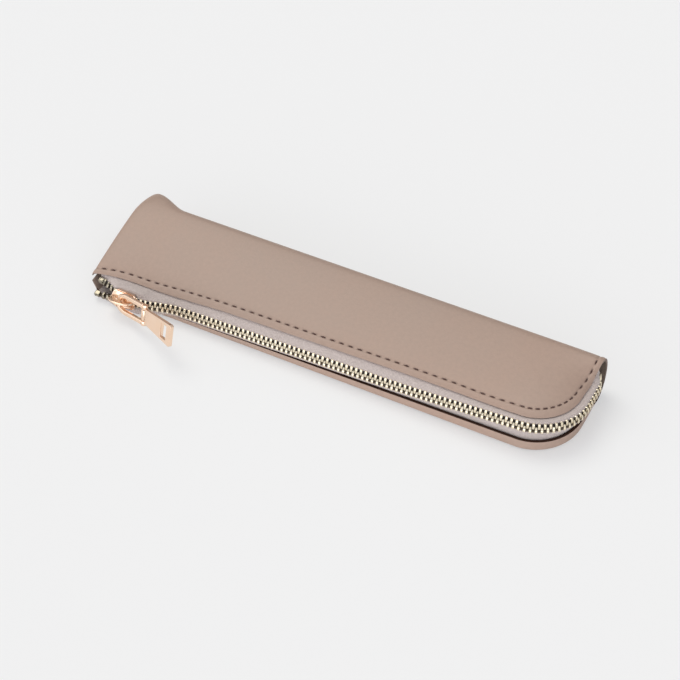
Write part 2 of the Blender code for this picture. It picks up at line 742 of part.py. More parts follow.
def row_of_teeth(side):
    """One row of teeth, each clamped round the tape's corded edge, which runs through them all.

    Every tooth gives two sections across the row, at the two ends of its foot. The cord's outer
    edge is thinner than the teeth, and each tooth stands inwards from the cord and past the
    middle of the zip.
    """
    first = ZIP_START + STOP_LENGTH + GAP + TOOTH_FOOT_WIDTH / 2
    last = path_at_y(ZIP_END_Y) - STOP_LENGTH - GAP - TOOTH_FOOT_WIDTH
    if side > 0:
        first += TOOTH_PITCH / 2
    count = int((last - first) / TOOTH_PITCH) + 1
    cord = TOOTH_REACH - CORD_WIDTH
    thick = CHAIN_THICKNESS / 2
    vertices = []
    for k in range(count):
        middle = first + k * TOOTH_PITCH
        for end in (-1, 1):
            foot = middle + end * TOOTH_FOOT_WIDTH / 2
            head = middle + end * TOOTH_HEAD_WIDTH / 2
            vertices.append(row_point(foot, side, TOOTH_REACH, CORD_THICKNESS / 2))
            vertices.append(row_point(foot, side, cord, thick))
            vertices.append(row_point(head, side, -TOOTH_OVERLAP, thick))
            vertices.append(row_point(head, side, -TOOTH_OVERLAP, -thick))
            vertices.append(row_point(foot, side, cord, -thick))
            vertices.append(row_point(foot, side, TOOTH_REACH, -CORD_THICKNESS / 2))
    faces = []
    for k in range(2 * count - 1):
        a = 6 * k
        b = a + 6
        faces += [(a, b, b + 1, a + 1), (a + 4, b + 4, b + 5, a + 5), (a + 5, b + 5, b, a)]
        if k % 2 == 0:
            faces += [(a + 1, b + 1, b + 2, a + 2), (a + 2, b + 2, b + 3, a + 3),
                      (a + 3, b + 3, b + 4, a + 4), (a + 1, a + 2, a + 3, a + 4),
                      (b + 1, b + 4, b + 3, b + 2)]
        else:
            faces.append((a + 1, b + 1, b + 4, a + 4))
    end = 6 * (2 * count - 1)
    faces += [(0, 1, 4, 5), (end, end + 5, end + 4, end + 1)]
    return vertices, faces


def clip_on_zip(side, first, last, near, far, thickness):
    """A stop clamped on the zip between two places and two distances across it."""
    loops = []
    for s in (first, last):
        loops.append([row_point(s, side, near, thickness / 2), row_point(s, side, far, thickness / 2),
                      row_point(s, side, far, -thickness / 2), row_point(s, side, near, -thickness / 2)])
    return sweep_loops(loops)


def build_zip_metal(material):
    first = ZIP_START
    last = path_at_y(ZIP_END_Y)
    reach = TAPE_TO_TOOTH - GAP
    for name, side in (("upper", -1), ("lower", 1)):
        add_solid(f"{name}_teeth", row_of_teeth(side), material)
        stop = clip_on_zip(side, first, first + STOP_LENGTH, reach - STOP_WIDTH, reach, STOP_THICKNESS)
        add_solid(f"{name}_top_stop", stop, material)
    closed = clip_on_zip(1, last - STOP_LENGTH, last, -reach, reach, STOP_THICKNESS)
    add_solid("bottom_stop", closed, material)


# Stitching

def top_surface(s, depth):
    """Point on the top panel's outer face, and its outward normal."""
    def at(along, inward_depth):
        point, inward = path_point(along)
        x, y = point + inward * (edge_inset(along) + inward_depth)
        full = top_height(x, y)
        return close_left_end(np.array([x, y, full]), full)
    middle = at(s, depth)
    along = at(s + 0.0003, depth) - at(s - 0.0003, depth)
    inwards = at(s, depth + 0.0003) - at(s, depth - 0.0003)
    normal = np.cross(along, inwards)
    return middle, along / np.linalg.norm(along), normal / np.linalg.norm(normal)


def lip_surface(s):
    """Point on the lip's outer face where its stitches lie, and its outward normal."""
    def at(along):
        point, inward = path_point(along)
        x, y = point + inward * (lip_inset(along) + LIP_STITCH_DEPTH)
        return np.array([x, y, LIP_STITCH_HEIGHT])
    _, inward = path_point(s)
    along = at(s + 0.0003) - at(s - 0.0003)
    outward = np.append(-inward * math.cos(LIP_STITCH_TILT), -math.sin(LIP_STITCH_TILT))
    return at(s), along / np.linalg.norm(along), outward


def thread_loop(surface, lift):
    """Four corners of the thread's section over a point of the leather."""
    point, along, normal = surface
    across = np.cross(normal, along) * STITCH_WIDTH / 2
    low = point + normal * GAP
    high = low + normal * lift
    return [low - across, low + across, high + across * STITCH_TOP_SHARE,
            high - across * STITCH_TOP_SHARE]


def seam_loops(surface_at, first, last):
    """Sections of a seam's thread: high over each stitch's middle and low at its holes."""
    count = int((last - first) / STITCH_PITCH)
    loops = []
    for k in range(count):
        start = first + k * STITCH_PITCH
        loops.append(thread_loop(surface_at(start), STITCH_HEIGHT * STITCH_END_SHARE))
        loops.append(thread_loop(surface_at(start + STITCH_LENGTH / 2), STITCH_HEIGHT))
    loops.append(thread_loop(surface_at(first + count * STITCH_PITCH), STITCH_HEIGHT * STITCH_END_SHARE))
    return loops


def end_seam_loops():
    """Sections of the thread that closes the left end, between the two turned edges."""
    span = EAR_TIP_Y - FRONT_CHAIN_Y
    count = int((span - 2 * END_SEAM_SETBACK) / STITCH_PITCH)
    wide = np.array([STITCH_WIDTH / 2, 0.0, 0.0])
    loops = []
    for k in range(count + 1):
        y = FRONT_CHAIN_Y + END_SEAM_SETBACK + k * STITCH_PITCH
        centre = np.array([LEFT_END_X + END_SEAM_INSET, y, seam_height(y)])
        high = np.array([0.0, 0.0, STITCH_HEIGHT / 2])
        loops.append([centre - wide - high, centre + wide - high, centre + wide + high,
                      centre - wide + high])
    return loops


def build_stitching(material):
    last = path_at_y(UPPER_ROW_END_Y)
    upper = seam_loops(lambda s: top_surface(s, STITCH_FROM_EDGE), UPPER_ROW_START, last)
    add_solid("upper_seam_thread", sweep_loops(upper), material)
    lower = seam_loops(lip_surface, LOWER_ROW_START, path_at_y(LOWER_ROW_END_Y))
    add_solid("lower_seam_thread", sweep_loops(lower), material)
    add_solid("end_seam_thread", sweep_loops(end_seam_loops()), material)


# Slider and pull. Each moving piece is built flat on its own joint's axes: X along the piece,
# Y across it towards the top panel, Z out of its face. An empty on the joint's axis carries it.

def add_joint_axes(name, location, rotation, parent=None):
    """An empty on a joint's axis, placed on the empty before it."""
    empty = bpy.data.objects.new(name, None)
    empty.location = location
    empty.rotation_euler = rotation
    empty.parent = parent
    bpy.context.collection.objects.link(empty)
    return empty


def slider_axes():
    """Empty at the slider's middle: X along the zip, Y up across it, Z out of its face.

    The chain climbs more steeply near the corner, so the straight slide ends a little under it
    to stay near it midway.
    """
    rest, face, _ = chain_frame(SLIDER_START)
    end, _, _ = chain_frame(SLIDER_END_X - LEFT_END_X)
    end[2] -= SLIDE_END_DROP
    forward = (end - rest) / np.linalg.norm(end - rest)
    out = face - forward * np.dot(face, forward)
    out /= np.linalg.norm(out)
    up = np.cross(out, forward)
    turn = Matrix(np.array([forward, up, out]).T.tolist()).to_euler()
    return add_joint_axes("zip_slide_axes", rest, turn)


def wing_outline():
    """Plan outline of a wing: broad round nose to the left, straight rear to the right."""
    half = SLIDER_LENGTH / 2
    nose = SLIDER_NOSE_HALF_WIDTH
    rear = SLIDER_REAR_HALF_WIDTH
    points = []
    for k in range(9):
        angle = math.pi / 2 + math.pi * k / 8
        x = half * (SLIDER_NOSE_SHARE - 1 + SLIDER_NOSE_SHARE * math.cos(angle))
        points.append((x, nose * math.sin(angle)))
    chamfer = half * SLIDER_REAR_CHAMFER
    points.append((half - chamfer, -rear))
    points.append((half, chamfer - rear))
    points.append((half, rear - chamfer))
    points.append((half - chamfer, rear))
    return points


def prism(points, low, high):
    """Closed solid between two heights over a flat outline."""
    loops = [[(x, y, low) for x, y in points], [(x, y, high) for x, y in points]]
    return sweep_loops(loops)


def cross_bar(radius, reach, centre_x=0.0):
    """Round bar across the pull, its axis along Y."""
    loops = []
    for across in (-reach, reach):
        loop = []
        for k in range(ROUND_SIDES):
            angle = 2 * math.pi * k / ROUND_SIDES
            loop.append((centre_x + radius * math.cos(angle), across, radius * math.sin(angle)))
        loops.append(loop)
    return sweep_loops(loops)


def helper(name, solid, material, axes):
    """A solid that only cuts or joins another, kept out of the picture."""
    tool = add_solid(name, solid, material)
    tool.parent = axes
    tool.hide_render = True
    tool.display_type = "WIRE"
    return tool


def combine(piece, operation, tools):
    """Join or cut a piece with other solids on the same axes."""
    for tool in tools:
        change = piece.modifiers.new(tool.name, "BOOLEAN")
        change.operation = operation
        change.solver = "EXACT"
        change.object = tool


def union(name, solids, material, axes):
    """Overlapping solids joined into one body, on a joint's axes."""
    base = add_solid(name, solids[0], material)
    base.parent = axes
    tools = []
    for k, solid in enumerate(solids[1:]):
        tools.append(helper(f"{name}_part_{k}", solid, material, axes))
    combine(base, "UNION", tools)
    return base


def build_slider(material, axes):
    """Two wings, a flange along each side of both, and the wedge that joins them."""
    outline = wing_outline()
    flange_high = WING_SLOT / 2
    solids = [
        prism(outline, CHANNEL_HALF, WING_FACE),
        prism(outline, -WING_FACE, -CHANNEL_HALF),
    ]
    start = SLIDER_LENGTH / 2 * (SLIDER_NOSE_SHARE - 1)
    end = SLIDER_LENGTH / 2 * (1 - SLIDER_REAR_CHAMFER) - JOIN_STEP
    for side in (-1, 1):
        rail = [(start, side * (SLIDER_NOSE_HALF_WIDTH - FLANGE_WIDTH)),
                (end, side * (SLIDER_REAR_HALF_WIDTH - FLANGE_WIDTH)),
                (end, side * (SLIDER_REAR_HALF_WIDTH - JOIN_STEP)),
                (start, side * (SLIDER_NOSE_HALF_WIDTH - JOIN_STEP))]
        solids.append(prism(rail, flange_high, CHANNEL_HALF + JOIN_DEPTH))
        solids.append(prism(rail, -CHANNEL_HALF - JOIN_DEPTH, -flange_high))
    nose = WEDGE_START - SLIDER_LENGTH / 2
    shoulder = nose + WEDGE_LENGTH * 0.6
    narrow = WEDGE_HALF_WIDTH * 0.45
    wedge = [(nose, -WEDGE_HALF_WIDTH), (shoulder, -narrow), (nose + WEDGE_LENGTH, 0.0),
             (shoulder, narrow), (nose, WEDGE_HALF_WIDTH)]
    solids.append(prism(wedge, -CHANNEL_HALF - JOIN_DEPTH, CHANNEL_HALF + JOIN_DEPTH))
    union("slider_body", solids, material, axes)


def build_crown(material, axes):
    """The bridge over the front wing that the pull's link passes under."""
    low = WING_FACE + GAP
    rise = 2 * LINK_ROD_RADIUS + CROWN_ROOM
    nose = CROWN_NOSE_SETBACK - SLIDER_LENGTH / 2
    top = nose + CROWN_TOP_START
    rear = CROWN_REAR
    thick = CROWN_THICKNESS
    outer = [
        (nose, low), (nose + thick * 0.1, low + rise * 0.45), (nose + thick * 1.3, low + rise * 0.85),
        (nose + CROWN_TOP_START / 2, low + rise + thick * 0.5), (top, low + rise + thick),
        (rear - thick * 2.2, low + rise + thick * 0.6), (rear - thick * 0.45, low + rise * 0.55),
        (rear, low),
    ]
    inner = [
        (rear - CROWN_REAR_FOOT, low), (rear - CROWN_REAR_FOOT * 1.4, low + rise * 0.45),
        (rear - CROWN_REAR_FOOT * 2.6, low + rise * 0.85), (top, low + rise),
        (nose + CROWN_NOSE_FOOT * 2.1, low + rise * 0.85),
        (nose + CROWN_NOSE_FOOT * 1.25, low + rise * 0.45), (nose + CROWN_NOSE_FOOT, low),
    ]
    loops = []
    for across in (-CROWN_HALF_WIDTH, CROWN_HALF_WIDTH):
        loops.append([(x, across, z) for x, z in outer + inner])
    crown = add_solid("slider_crown", sweep_loops(loops), material)
    crown.parent = axes


def rod(path):
    """Round rod along a flat path, mitred at its corners."""
    line = np.array(path)
    steps = np.diff(line, axis=0)
    steps /= np.linalg.norm(steps, axis=1, keepdims=True)
    loops = []
    for k, (x, y) in enumerate(line):
        before = steps[max(k - 1, 0)]
        after = steps[min(k, len(steps) - 1)]
        tangent = (before + after) / np.linalg.norm(before + after)
        stretch = 1 / float(np.dot(tangent, after))
        loop = []
        for j in range(ROD_SIDES):
            angle = 2 * math.pi * (j + 0.5) / ROD_SIDES
            offset = LINK_ROD_RADIUS * math.cos(angle) * stretch
            loop.append((x - tangent[1] * offset, y + tangent[0] * offset,
                         LINK_ROD_RADIUS * math.sin(angle)))
        loops.append(loop)
    return sweep_loops(loops)


def eye_ring(side):
    """Ring round the pin at the end of one arm of the link, its axis across the pull."""
    outer = []
    inner = []
    for k in range(ROUND_SIDES):
        angle = 2 * math.pi * k / ROUND_SIDES
        x = math.cos(angle)
        z = math.sin(angle)
        outer.append((LINK_LENGTH + EYE_RADIUS * x, EYE_RADIUS * z))
        inner.append((LINK_LENGTH + BORE_RADIUS * x, BORE_RADIUS * z))
    vertices = []
    for across in (-LINK_ROD_RADIUS, LINK_ROD_RADIUS):
        y = side * LINK_HALF_WIDTH + across
        vertices += [(x, y, z) for x, z in outer + inner]
    count = ROUND_SIDES
    faces = []
    for k in range(count):
        after = (k + 1) % count
        faces.append((k, after, count + after, count + k))
        faces.append((2 * count + k, 3 * count + k, 3 * count + after, 2 * count + after))
        faces.append((k, 2 * count + k, 2 * count + after, after))
        faces.append((count + k, count + after, 3 * count + after, 3 * count + k))
    return vertices, faces


def build_link(material, axes):
    """Stirrup-shaped link: a short bar under the crown and two arms to the pin."""
    half = LINK_HALF_WIDTH
    bight = LINK_BIGHT_HALF_WIDTH
    arm_end = LINK_LENGTH - (EYE_RADIUS + BORE_RADIUS) / 2
    stirrup = rod([(arm_end, half), (LINK_TAPER_LENGTH, half), (0.0, bight),
                   (0.0, -bight), (LINK_TAPER_LENGTH, -half), (arm_end, -half)])
    union("pull_link", [stirrup, eye_ring(-1), eye_ring(1)], material, axes)


def build_pin(material, axes):
    """Cross pin through the link's eyes and the tab's barrel."""
    reach = LINK_HALF_WIDTH + LINK_ROD_RADIUS - PIN_END_SETBACK
    pin = add_solid("link_pin", cross_bar(PIN_RADIUS, reach, LINK_LENGTH), material)
    pin.parent = axes


def build_tab(material, axes):
    """Flared flat tab with a slot near its end and a barrel that the pin passes through."""
    half_thick = TAB_THICKNESS / 2
    neck = TAB_NECK_HALF_WIDTH
    corner = TAB_CORNER
    bevel = TAB_CORNER * 0.3
    end = TAB_END_HALF_WIDTH
    edge = [
        (-TAB_HEEL_LENGTH, neck), (TAB_NECK_LENGTH - TAB_NECK_CHAMFER, neck),
        (TAB_NECK_LENGTH, TAB_SHOULDER_HALF_WIDTH), (TAB_LENGTH - corner, end),
        (TAB_LENGTH - bevel, end - bevel), (TAB_LENGTH, end - corner),
    ]
    outline = [(x, -y) for x, y in edge] + list(reversed(edge))
    tab = union("pull_tab", [prism(outline, -half_thick, half_thick),
                             cross_bar(BARREL_RADIUS, neck)], material, axes)
    window_end = TAB_LENGTH - TAB_END_BAR
    window_start = window_end - TAB_WINDOW_LENGTH
    wide = TAB_WINDOW_HALF_WIDTH
    slot = [(window_start, -wide), (window_end, -wide), (window_end, wide), (window_start, wide)]
    combine(tab, "DIFFERENCE", [
        helper("tab_window_cutter", prism(slot, -TAB_THICKNESS, TAB_THICKNESS), material, axes),
        helper("tab_bore_cutter", cross_bar(BORE_RADIUS, neck + GAP), material, axes),
    ])


for old in list(bpy.data.objects):
    bpy.data.objects.remove(old, do_unlink=True)

leather = make_material("taupe leather", (0.451, 0.342, 0.270), 0.55)
cloth = make_material("grey lining cloth", (0.115, 0.110, 0.095), 0.85)
tape_cloth = make_material("mauve zip tape", (0.474, 0.386, 0.371), 0.80)
thread = make_material("brown thread", (0.147, 0.058, 0.034), 0.70)
tooth_metal = make_material("pale gold teeth", (0.760, 0.660, 0.430), 0.30, 1.0)
pull_metal = make_material("rose gold plate", (0.870, 0.600, 0.400), 0.20, 1.0)

build_leather(leather)
build_lining(cloth)
add_tape("upper_tape", upper_tape_line, tape_cloth)
add_tape("lower_tape", lower_tape_line, tape_cloth)
build_zip_metal(tooth_metal)
build_stitching(thread)

slide_axes = slider_axes()
build_slider(pull_metal, slide_axes)
build_crown(pull_metal, slide_axes)
link_axes = add_joint_axes("link_hinge_axes", (LINK_PIVOT_FORWARD, 0.0, LINK_PIVOT_OUT),
                           (0.0, -LINK_SWING, 0.0), slide_axes)
build_link(pull_metal, link_axes)
build_pin(pull_metal, link_axes)
tab_axes = add_joint_axes("tab_hinge_axes", (LINK_LENGTH, 0.0, 0.0),
                          (0.0, LINK_SWING - TAB_SWING, 0.0), link_axes)
build_tab(pull_metal, tab_axes)
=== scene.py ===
"""Slim zipped pen case in taupe leather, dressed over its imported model. Metres, +Z up.

The case lies on its bottom panel. X runs along it from the sewn left end to the rounded right
end, the zip faces -Y and the fold is at +Y.
"""
import json
import math

import bmesh
import bpy
import numpy as np
from mathutils import Matrix, Vector

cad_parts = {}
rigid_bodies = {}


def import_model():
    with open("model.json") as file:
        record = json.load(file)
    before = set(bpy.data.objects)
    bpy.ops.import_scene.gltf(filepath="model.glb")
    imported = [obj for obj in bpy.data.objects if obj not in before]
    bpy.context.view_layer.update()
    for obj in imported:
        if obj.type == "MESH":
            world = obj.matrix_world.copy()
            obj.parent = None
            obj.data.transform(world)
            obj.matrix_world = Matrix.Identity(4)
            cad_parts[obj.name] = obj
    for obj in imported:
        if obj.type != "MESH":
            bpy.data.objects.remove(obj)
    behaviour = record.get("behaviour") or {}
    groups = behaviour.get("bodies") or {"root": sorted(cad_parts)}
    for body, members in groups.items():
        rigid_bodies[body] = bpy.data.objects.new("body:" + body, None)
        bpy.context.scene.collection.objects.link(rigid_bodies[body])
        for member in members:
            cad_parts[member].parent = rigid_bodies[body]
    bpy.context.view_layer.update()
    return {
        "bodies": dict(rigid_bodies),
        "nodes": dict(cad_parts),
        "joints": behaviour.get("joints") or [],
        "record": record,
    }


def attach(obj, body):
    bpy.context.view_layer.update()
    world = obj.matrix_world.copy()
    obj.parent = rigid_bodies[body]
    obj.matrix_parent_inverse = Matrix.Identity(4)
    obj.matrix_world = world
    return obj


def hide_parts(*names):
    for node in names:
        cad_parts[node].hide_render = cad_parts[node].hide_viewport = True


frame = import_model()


# Camera. It stands in front of the zip and to its right, as for the photograph, and looks down
# at the case through a long lens from about 70 centimetres away.
VIEW_TURN = math.radians(27.7)
VIEW_DROP = math.radians(43.9)
VIEW_DISTANCE = 0.6996
VIEW_OFFSET = (-0.00142, -0.00039)
FOCAL_LENGTH_IN_FRAMES = 1750 / 680

view_right = Vector((math.cos(VIEW_TURN), math.sin(VIEW_TURN), 0))
heading = Vector((-math.sin(VIEW_TURN), math.cos(VIEW_TURN), 0))
view_ahead = heading * math.cos(VIEW_DROP) - Vector((0, 0, 1)) * math.sin(VIEW_DROP)
view_up = view_right.cross(view_ahead)
camera_data = bpy.data.cameras.new("camera")
camera_data.sensor_width = 36
camera_data.lens = 36 * FOCAL_LENGTH_IN_FRAMES
camera_data.clip_start = 0.01
camera_data.clip_end = 20
camera = bpy.data.objects.new("camera", camera_data)
bpy.context.scene.collection.objects.link(camera)
stand = view_right * VIEW_OFFSET[0] + view_up * VIEW_OFFSET[1] - view_ahead * VIEW_DISTANCE
turn = Matrix((view_right, view_up, -view_ahead)).transposed().to_4x4()
camera.matrix_world = Matrix.Translation(stand) @ turn
bpy.context.scene.camera = camera
bpy.context.scene.view_settings.view_transform = "Standard"


# Table and light. A seamless pale table under a soft, nearly even white tent, with one broad
# lamp high up behind it to the left. The tent is open low down behind the case, where polished
# metal shows a dark room, and has a brighter band low in front. The camera sees the table's own
# pale grey all round.
PALE_GREY = "#EFEFEF"
TABLE_WIDTH = 6
SHADOW_KEPT = 0.5
TENT_LEVEL = 0.645
FRONT_BAND_LEVEL = 1.6
ROOM_LEVEL = 0.05
TENT_TINT = (0.985, 0.99, 1.03, 1.0)
LAMP_LEVEL = 0.32
LAMP_FROM = (-0.42, 0.22, 0.88)
LAMP_WIDTH = math.radians(40)
LAMP_TINT = (1.03, 1.02, 0.94)


def linear_colour(code):
    """Linear red, green, blue and alpha of an sRGB hex colour."""
    parts = [int(code[k:k + 2], 16) / 255 for k in (1, 3, 5)]
    return (*[p / 12.92 if p <= 0.04045 else ((p + 0.055) / 1.055) ** 2.4 for p in parts], 1.0)


def add_node(tree, kind, values=None, links=None, **settings):
    """Adds a node with its settings, its input values and the sockets that feed it."""
    made = tree.nodes.new(kind)
    for name, value in settings.items():
        setattr(made, name, value)
    for key, value in (values or {}).items():
        made.inputs[key].default_value = value
    for key, source in (links or {}).items():
        tree.links.new(source, made.inputs[key])
    return made


def math_node(tree, operation, *inputs):
    """The result of a math node, each input a number or a socket."""
    values = {k: item for k, item in enumerate(inputs) if isinstance(item, (int, float))}
    links = {k: item for k, item in enumerate(inputs) if k not in values}
    return add_node(tree, "ShaderNodeMath", values, links, operation=operation).outputs[0]


def map_range(tree, value, start, end, low=0.0, high=1.0, kind="LINEAR"):
    """A value carried over from one range to another, and held at both ends."""
    return add_node(tree, "ShaderNodeMapRange", {1: start, 2: end, 3: low, 4: high}, {0: value},
                    interpolation_type=kind).outputs[0]


def split(tree, vector):
    """The X, Y and Z of a vector."""
    return add_node(tree, "ShaderNodeSeparateXYZ", links={0: vector}).outputs


def new_material(name, base, roughness, metallic=0.0):
    """A material and its shader, with the plain values that hold all over the surface."""
    made = bpy.data.materials.new(name)
    made.use_nodes = True
    shader = made.node_tree.nodes["Principled BSDF"]
    shader.inputs["Base Color"].default_value = linear_colour(base)
    shader.inputs["Roughness"].default_value = roughness
    shader.inputs["Metallic"].default_value = metallic
    return made, made.node_tree, shader


bpy.ops.object.select_all(action="DESELECT")
bpy.ops.mesh.primitive_plane_add(size=TABLE_WIDTH, location=(0, 0, 0))
table_top = bpy.context.object
table_top.name = "table_top"
laminate, tree, shader = new_material("matt pale grey laminate", PALE_GREY, 0.9)
shader.inputs["Specular IOR Level"].default_value = 0.0
own_grey = add_node(tree, "ShaderNodeEmission", {"Color": linear_colour(PALE_GREY)})
seen = add_node(tree, "ShaderNodeLightPath").outputs["Is Camera Ray"]
surface = add_node(tree, "ShaderNodeMixShader", links={
    0: math_node(tree, "MULTIPLY", seen, 1 - SHADOW_KEPT), 1: shader.outputs[0],
    2: own_grey.outputs[0]})
tree.links.new(surface.outputs[0], tree.nodes["Material Output"].inputs["Surface"])
table_top.data.materials.append(laminate)

tent = bpy.data.worlds.new("light tent")
bpy.context.scene.world = tent
tent.use_nodes = True
tree = tent.node_tree
tree.nodes.clear()
axes = split(tree, add_node(tree, "ShaderNodeTexCoord").outputs["Generated"])
overhead = map_range(tree, axes["Z"], 0.10, 0.55, kind="SMOOTHSTEP")
not_behind = map_range(tree, axes["Y"], 0.55, 0.15, kind="SMOOTHSTEP")
cloth = map_range(tree, math_node(tree, "MAXIMUM", overhead, not_behind), 0.0, 1.0,
                  ROOM_LEVEL, TENT_LEVEL)
low_down = map_range(tree, axes["Z"], 0.50, 0.30, 0.0, FRONT_BAND_LEVEL, kind="SMOOTHSTEP")
in_front = map_range(tree, axes["Y"], -0.25, -0.55, kind="SMOOTHSTEP")
level = math_node(tree, "MULTIPLY_ADD", low_down, in_front, cloth)
white = add_node(tree, "ShaderNodeBackground", {0: TENT_TINT}, {1: level})
backdrop = add_node(tree, "ShaderNodeBackground", {0: linear_colour(PALE_GREY), 1: 1.0})
seen = add_node(tree, "ShaderNodeLightPath").outputs["Is Camera Ray"]
either = add_node(tree, "ShaderNodeMixShader",
                  links={0: seen, 1: white.outputs[0], 2: backdrop.outputs[0]})
add_node(tree, "ShaderNodeOutputWorld", links={0: either.outputs[0]})

lamp = bpy.data.lights.new("overhead_lamp", "SUN")
lamp.angle = LAMP_WIDTH
lamp.color = LAMP_TINT
lamp_from = Vector(LAMP_FROM).normalized()
lamp.energy = math.pi * LAMP_LEVEL / lamp_from.z
hung_lamp = bpy.data.objects.new("overhead_lamp", lamp)
bpy.context.scene.collection.objects.link(hung_lamp)
hung_lamp.matrix_world = lamp_from.to_track_quat("Z", "Y").to_matrix().to_4x4()


# The zip's line. Everything sewn here follows it: straight along the front, round one corner
# and up the right end. Its chain leans back, and it hangs out and opens beside the left end.
LEFT_END_X = -0.1045
RIGHT_CHAIN_X = 0.1038
FRONT_CHAIN_Y = -0.0219
CORNER_RADIUS = 0.0200
STRAIGHT_RUN = RIGHT_CHAIN_X - CORNER_RADIUS - LEFT_END_X
CORNER_X = RIGHT_CHAIN_X - CORNER_RADIUS
CORNER_Y = FRONT_CHAIN_Y + CORNER_RADIUS
ARC_RUN = CORNER_RADIUS * math.pi / 2
CHAIN_HEIGHT = (0.0049, 0.0106)
CORNER_LIFT = 0.0021
CORNER_LIFT_FROM = 0.0560
CHAIN_TILT = (math.radians(68), math.radians(84))
BULGE_OUT = 0.0030
BULGE_START = 0.0415
BULGE_FULL = 0.0245
MOUTH_BULGE_OUT = 0.0026
MOUTH_SPREAD = 0.214
MOUTH_LOWER_SHARE = 0.66
MOUTH_TILT = (math.radians(10), math.radians(45), math.radians(105))
SLIDER_START = 0.0180
SLIDER_LENGTH = 0.0110
SPLIT_SETBACK = 0.0008
ZIP_START = 0.0035
ZIP_TUCK = 0.0022
ZIP_TUCK_FROM_Y = 0.0090
ZIP_END_Y = 0.0155


def ease(value, start, end):
    """0 before the start, 1 past the end, and an S-curve between them."""
    share = min(max((value - start) / (end - start), 0.0), 1.0)
    return share * share * (3 - 2 * share)


def blend(first, second, share):
    return first + (second - first) * share


def path_point(s):
    """Plan point and inward direction at the distance s from the left end."""
    if s <= STRAIGHT_RUN:
        return np.array([LEFT_END_X + s, FRONT_CHAIN_Y]), np.array([0.0, 1.0])
    if s <= STRAIGHT_RUN + ARC_RUN:
        turned_by = (s - STRAIGHT_RUN) / CORNER_RADIUS
        inward = np.array([-math.sin(turned_by), math.cos(turned_by)])
        return np.array([CORNER_X, CORNER_Y]) - CORNER_RADIUS * inward, inward
    rise = s - STRAIGHT_RUN - ARC_RUN
    return np.array([RIGHT_CHAIN_X, CORNER_Y + rise]), np.array([-1.0, 0.0])


def path_at_y(y):
    """Distance along the path of the point with this y on the right end."""
    return STRAIGHT_RUN + ARC_RUN + y - CORNER_Y


def y_on_right(s):
    return CORNER_Y + s - STRAIGHT_RUN - ARC_RUN


def nearest_on_path(x, y):
    """Distance along the path and inward depth of a plan point."""
    if x > CORNER_X and y < CORNER_Y:
        turned_by = math.atan2(x - CORNER_X, CORNER_Y - y)
        reach = math.hypot(x - CORNER_X, y - CORNER_Y)
        return STRAIGHT_RUN + turned_by * CORNER_RADIUS, CORNER_RADIUS - reach
    if y > CORNER_Y and RIGHT_CHAIN_X - x < y - FRONT_CHAIN_Y:
        return path_at_y(y), RIGHT_CHAIN_X - x
    return x - LEFT_END_X, y - FRONT_CHAIN_Y


def turned(s):
    """0 on the front run, 1 on the right end, easing round the corner."""
    return ease(s, STRAIGHT_RUN, STRAIGHT_RUN + ARC_RUN)


def near_corner(s):
    """0 along the front, easing to 1 by the middle of the corner and on the right end."""
    return ease(s, STRAIGHT_RUN - CORNER_LIFT_FROM, STRAIGHT_RUN + ARC_RUN / 2)


def chain_height(s):
    climb = blend(CHAIN_HEIGHT[0], CHAIN_HEIGHT[1], min(s / STRAIGHT_RUN, 1.0))
    return climb + CORNER_LIFT * near_corner(s)


def mouth_share(s):
    """0 at the slider's nose and to its right, 1 at the zip's open left end."""
    nose = SLIDER_START - SLIDER_LENGTH / 2
    share = min(max((nose - s) / (nose - ZIP_START), 0.0), 1.0)
    return 1 - (1 - share) ** 1.6


def bulge(s):
    """How far the chain hangs outwards near the open left end."""
    return blend(BULGE_OUT, MOUTH_BULGE_OUT, mouth_share(s)) * ease(s, BULGE_START, BULGE_FULL)


def tuck(s):
    """How far the chain has turned inwards at the right end, inside the fold."""
    return ZIP_TUCK * ease(y_on_right(s), ZIP_TUCK_FROM_Y, ZIP_END_Y)


def half_gap(s):
    """Half the distance between the two rows of teeth, open to the left of the slider."""
    return MOUTH_SPREAD * max(0.0, SLIDER_START - SPLIT_SETBACK - s)


def tilted(inward, tilt):
    """Outward face and downward direction of a plane that leans back from the vertical."""
    outward = np.array([-inward[0], -inward[1], 0.0])
    vertical = np.array([0.0, 0.0, 1.0])
    face = outward * math.sin(tilt) + vertical * math.cos(tilt)
    return face, outward * math.cos(tilt) - vertical * math.sin(tilt)


def chain_frame(s):
    """Centre of the chain, and the outward and downward directions of its plane."""
    point, inward = path_point(s)
    centre = point + inward * (tuck(s) - bulge(s))
    tilt = blend(blend(*CHAIN_TILT, turned(s)), MOUTH_TILT[1], mouth_share(s))
    face, down = tilted(inward, tilt)
    return np.array([centre[0], centre[1], chain_height(s)]), face, down


def row_frame(s, side):
    """Middle of the zip, face and outward direction of one row: side -1 above and 1 below."""
    centre, _, apart = chain_frame(s)
    _, inward = path_point(s)
    open_tilt = MOUTH_TILT[2] if side > 0 else MOUTH_TILT[0]
    face, down = tilted(inward, blend(blend(*CHAIN_TILT, turned(s)), open_tilt, mouth_share(s)))
    opened = half_gap(s) * (blend(1.0, MOUTH_LOWER_SHARE, mouth_share(s)) if side > 0 else 1.0)
    return centre + side * apart * opened, face, side * down


def row_point(s, side, across, face_out=0.0):
    middle, face, away = row_frame(s, side)
    return middle + away * across + face * face_out


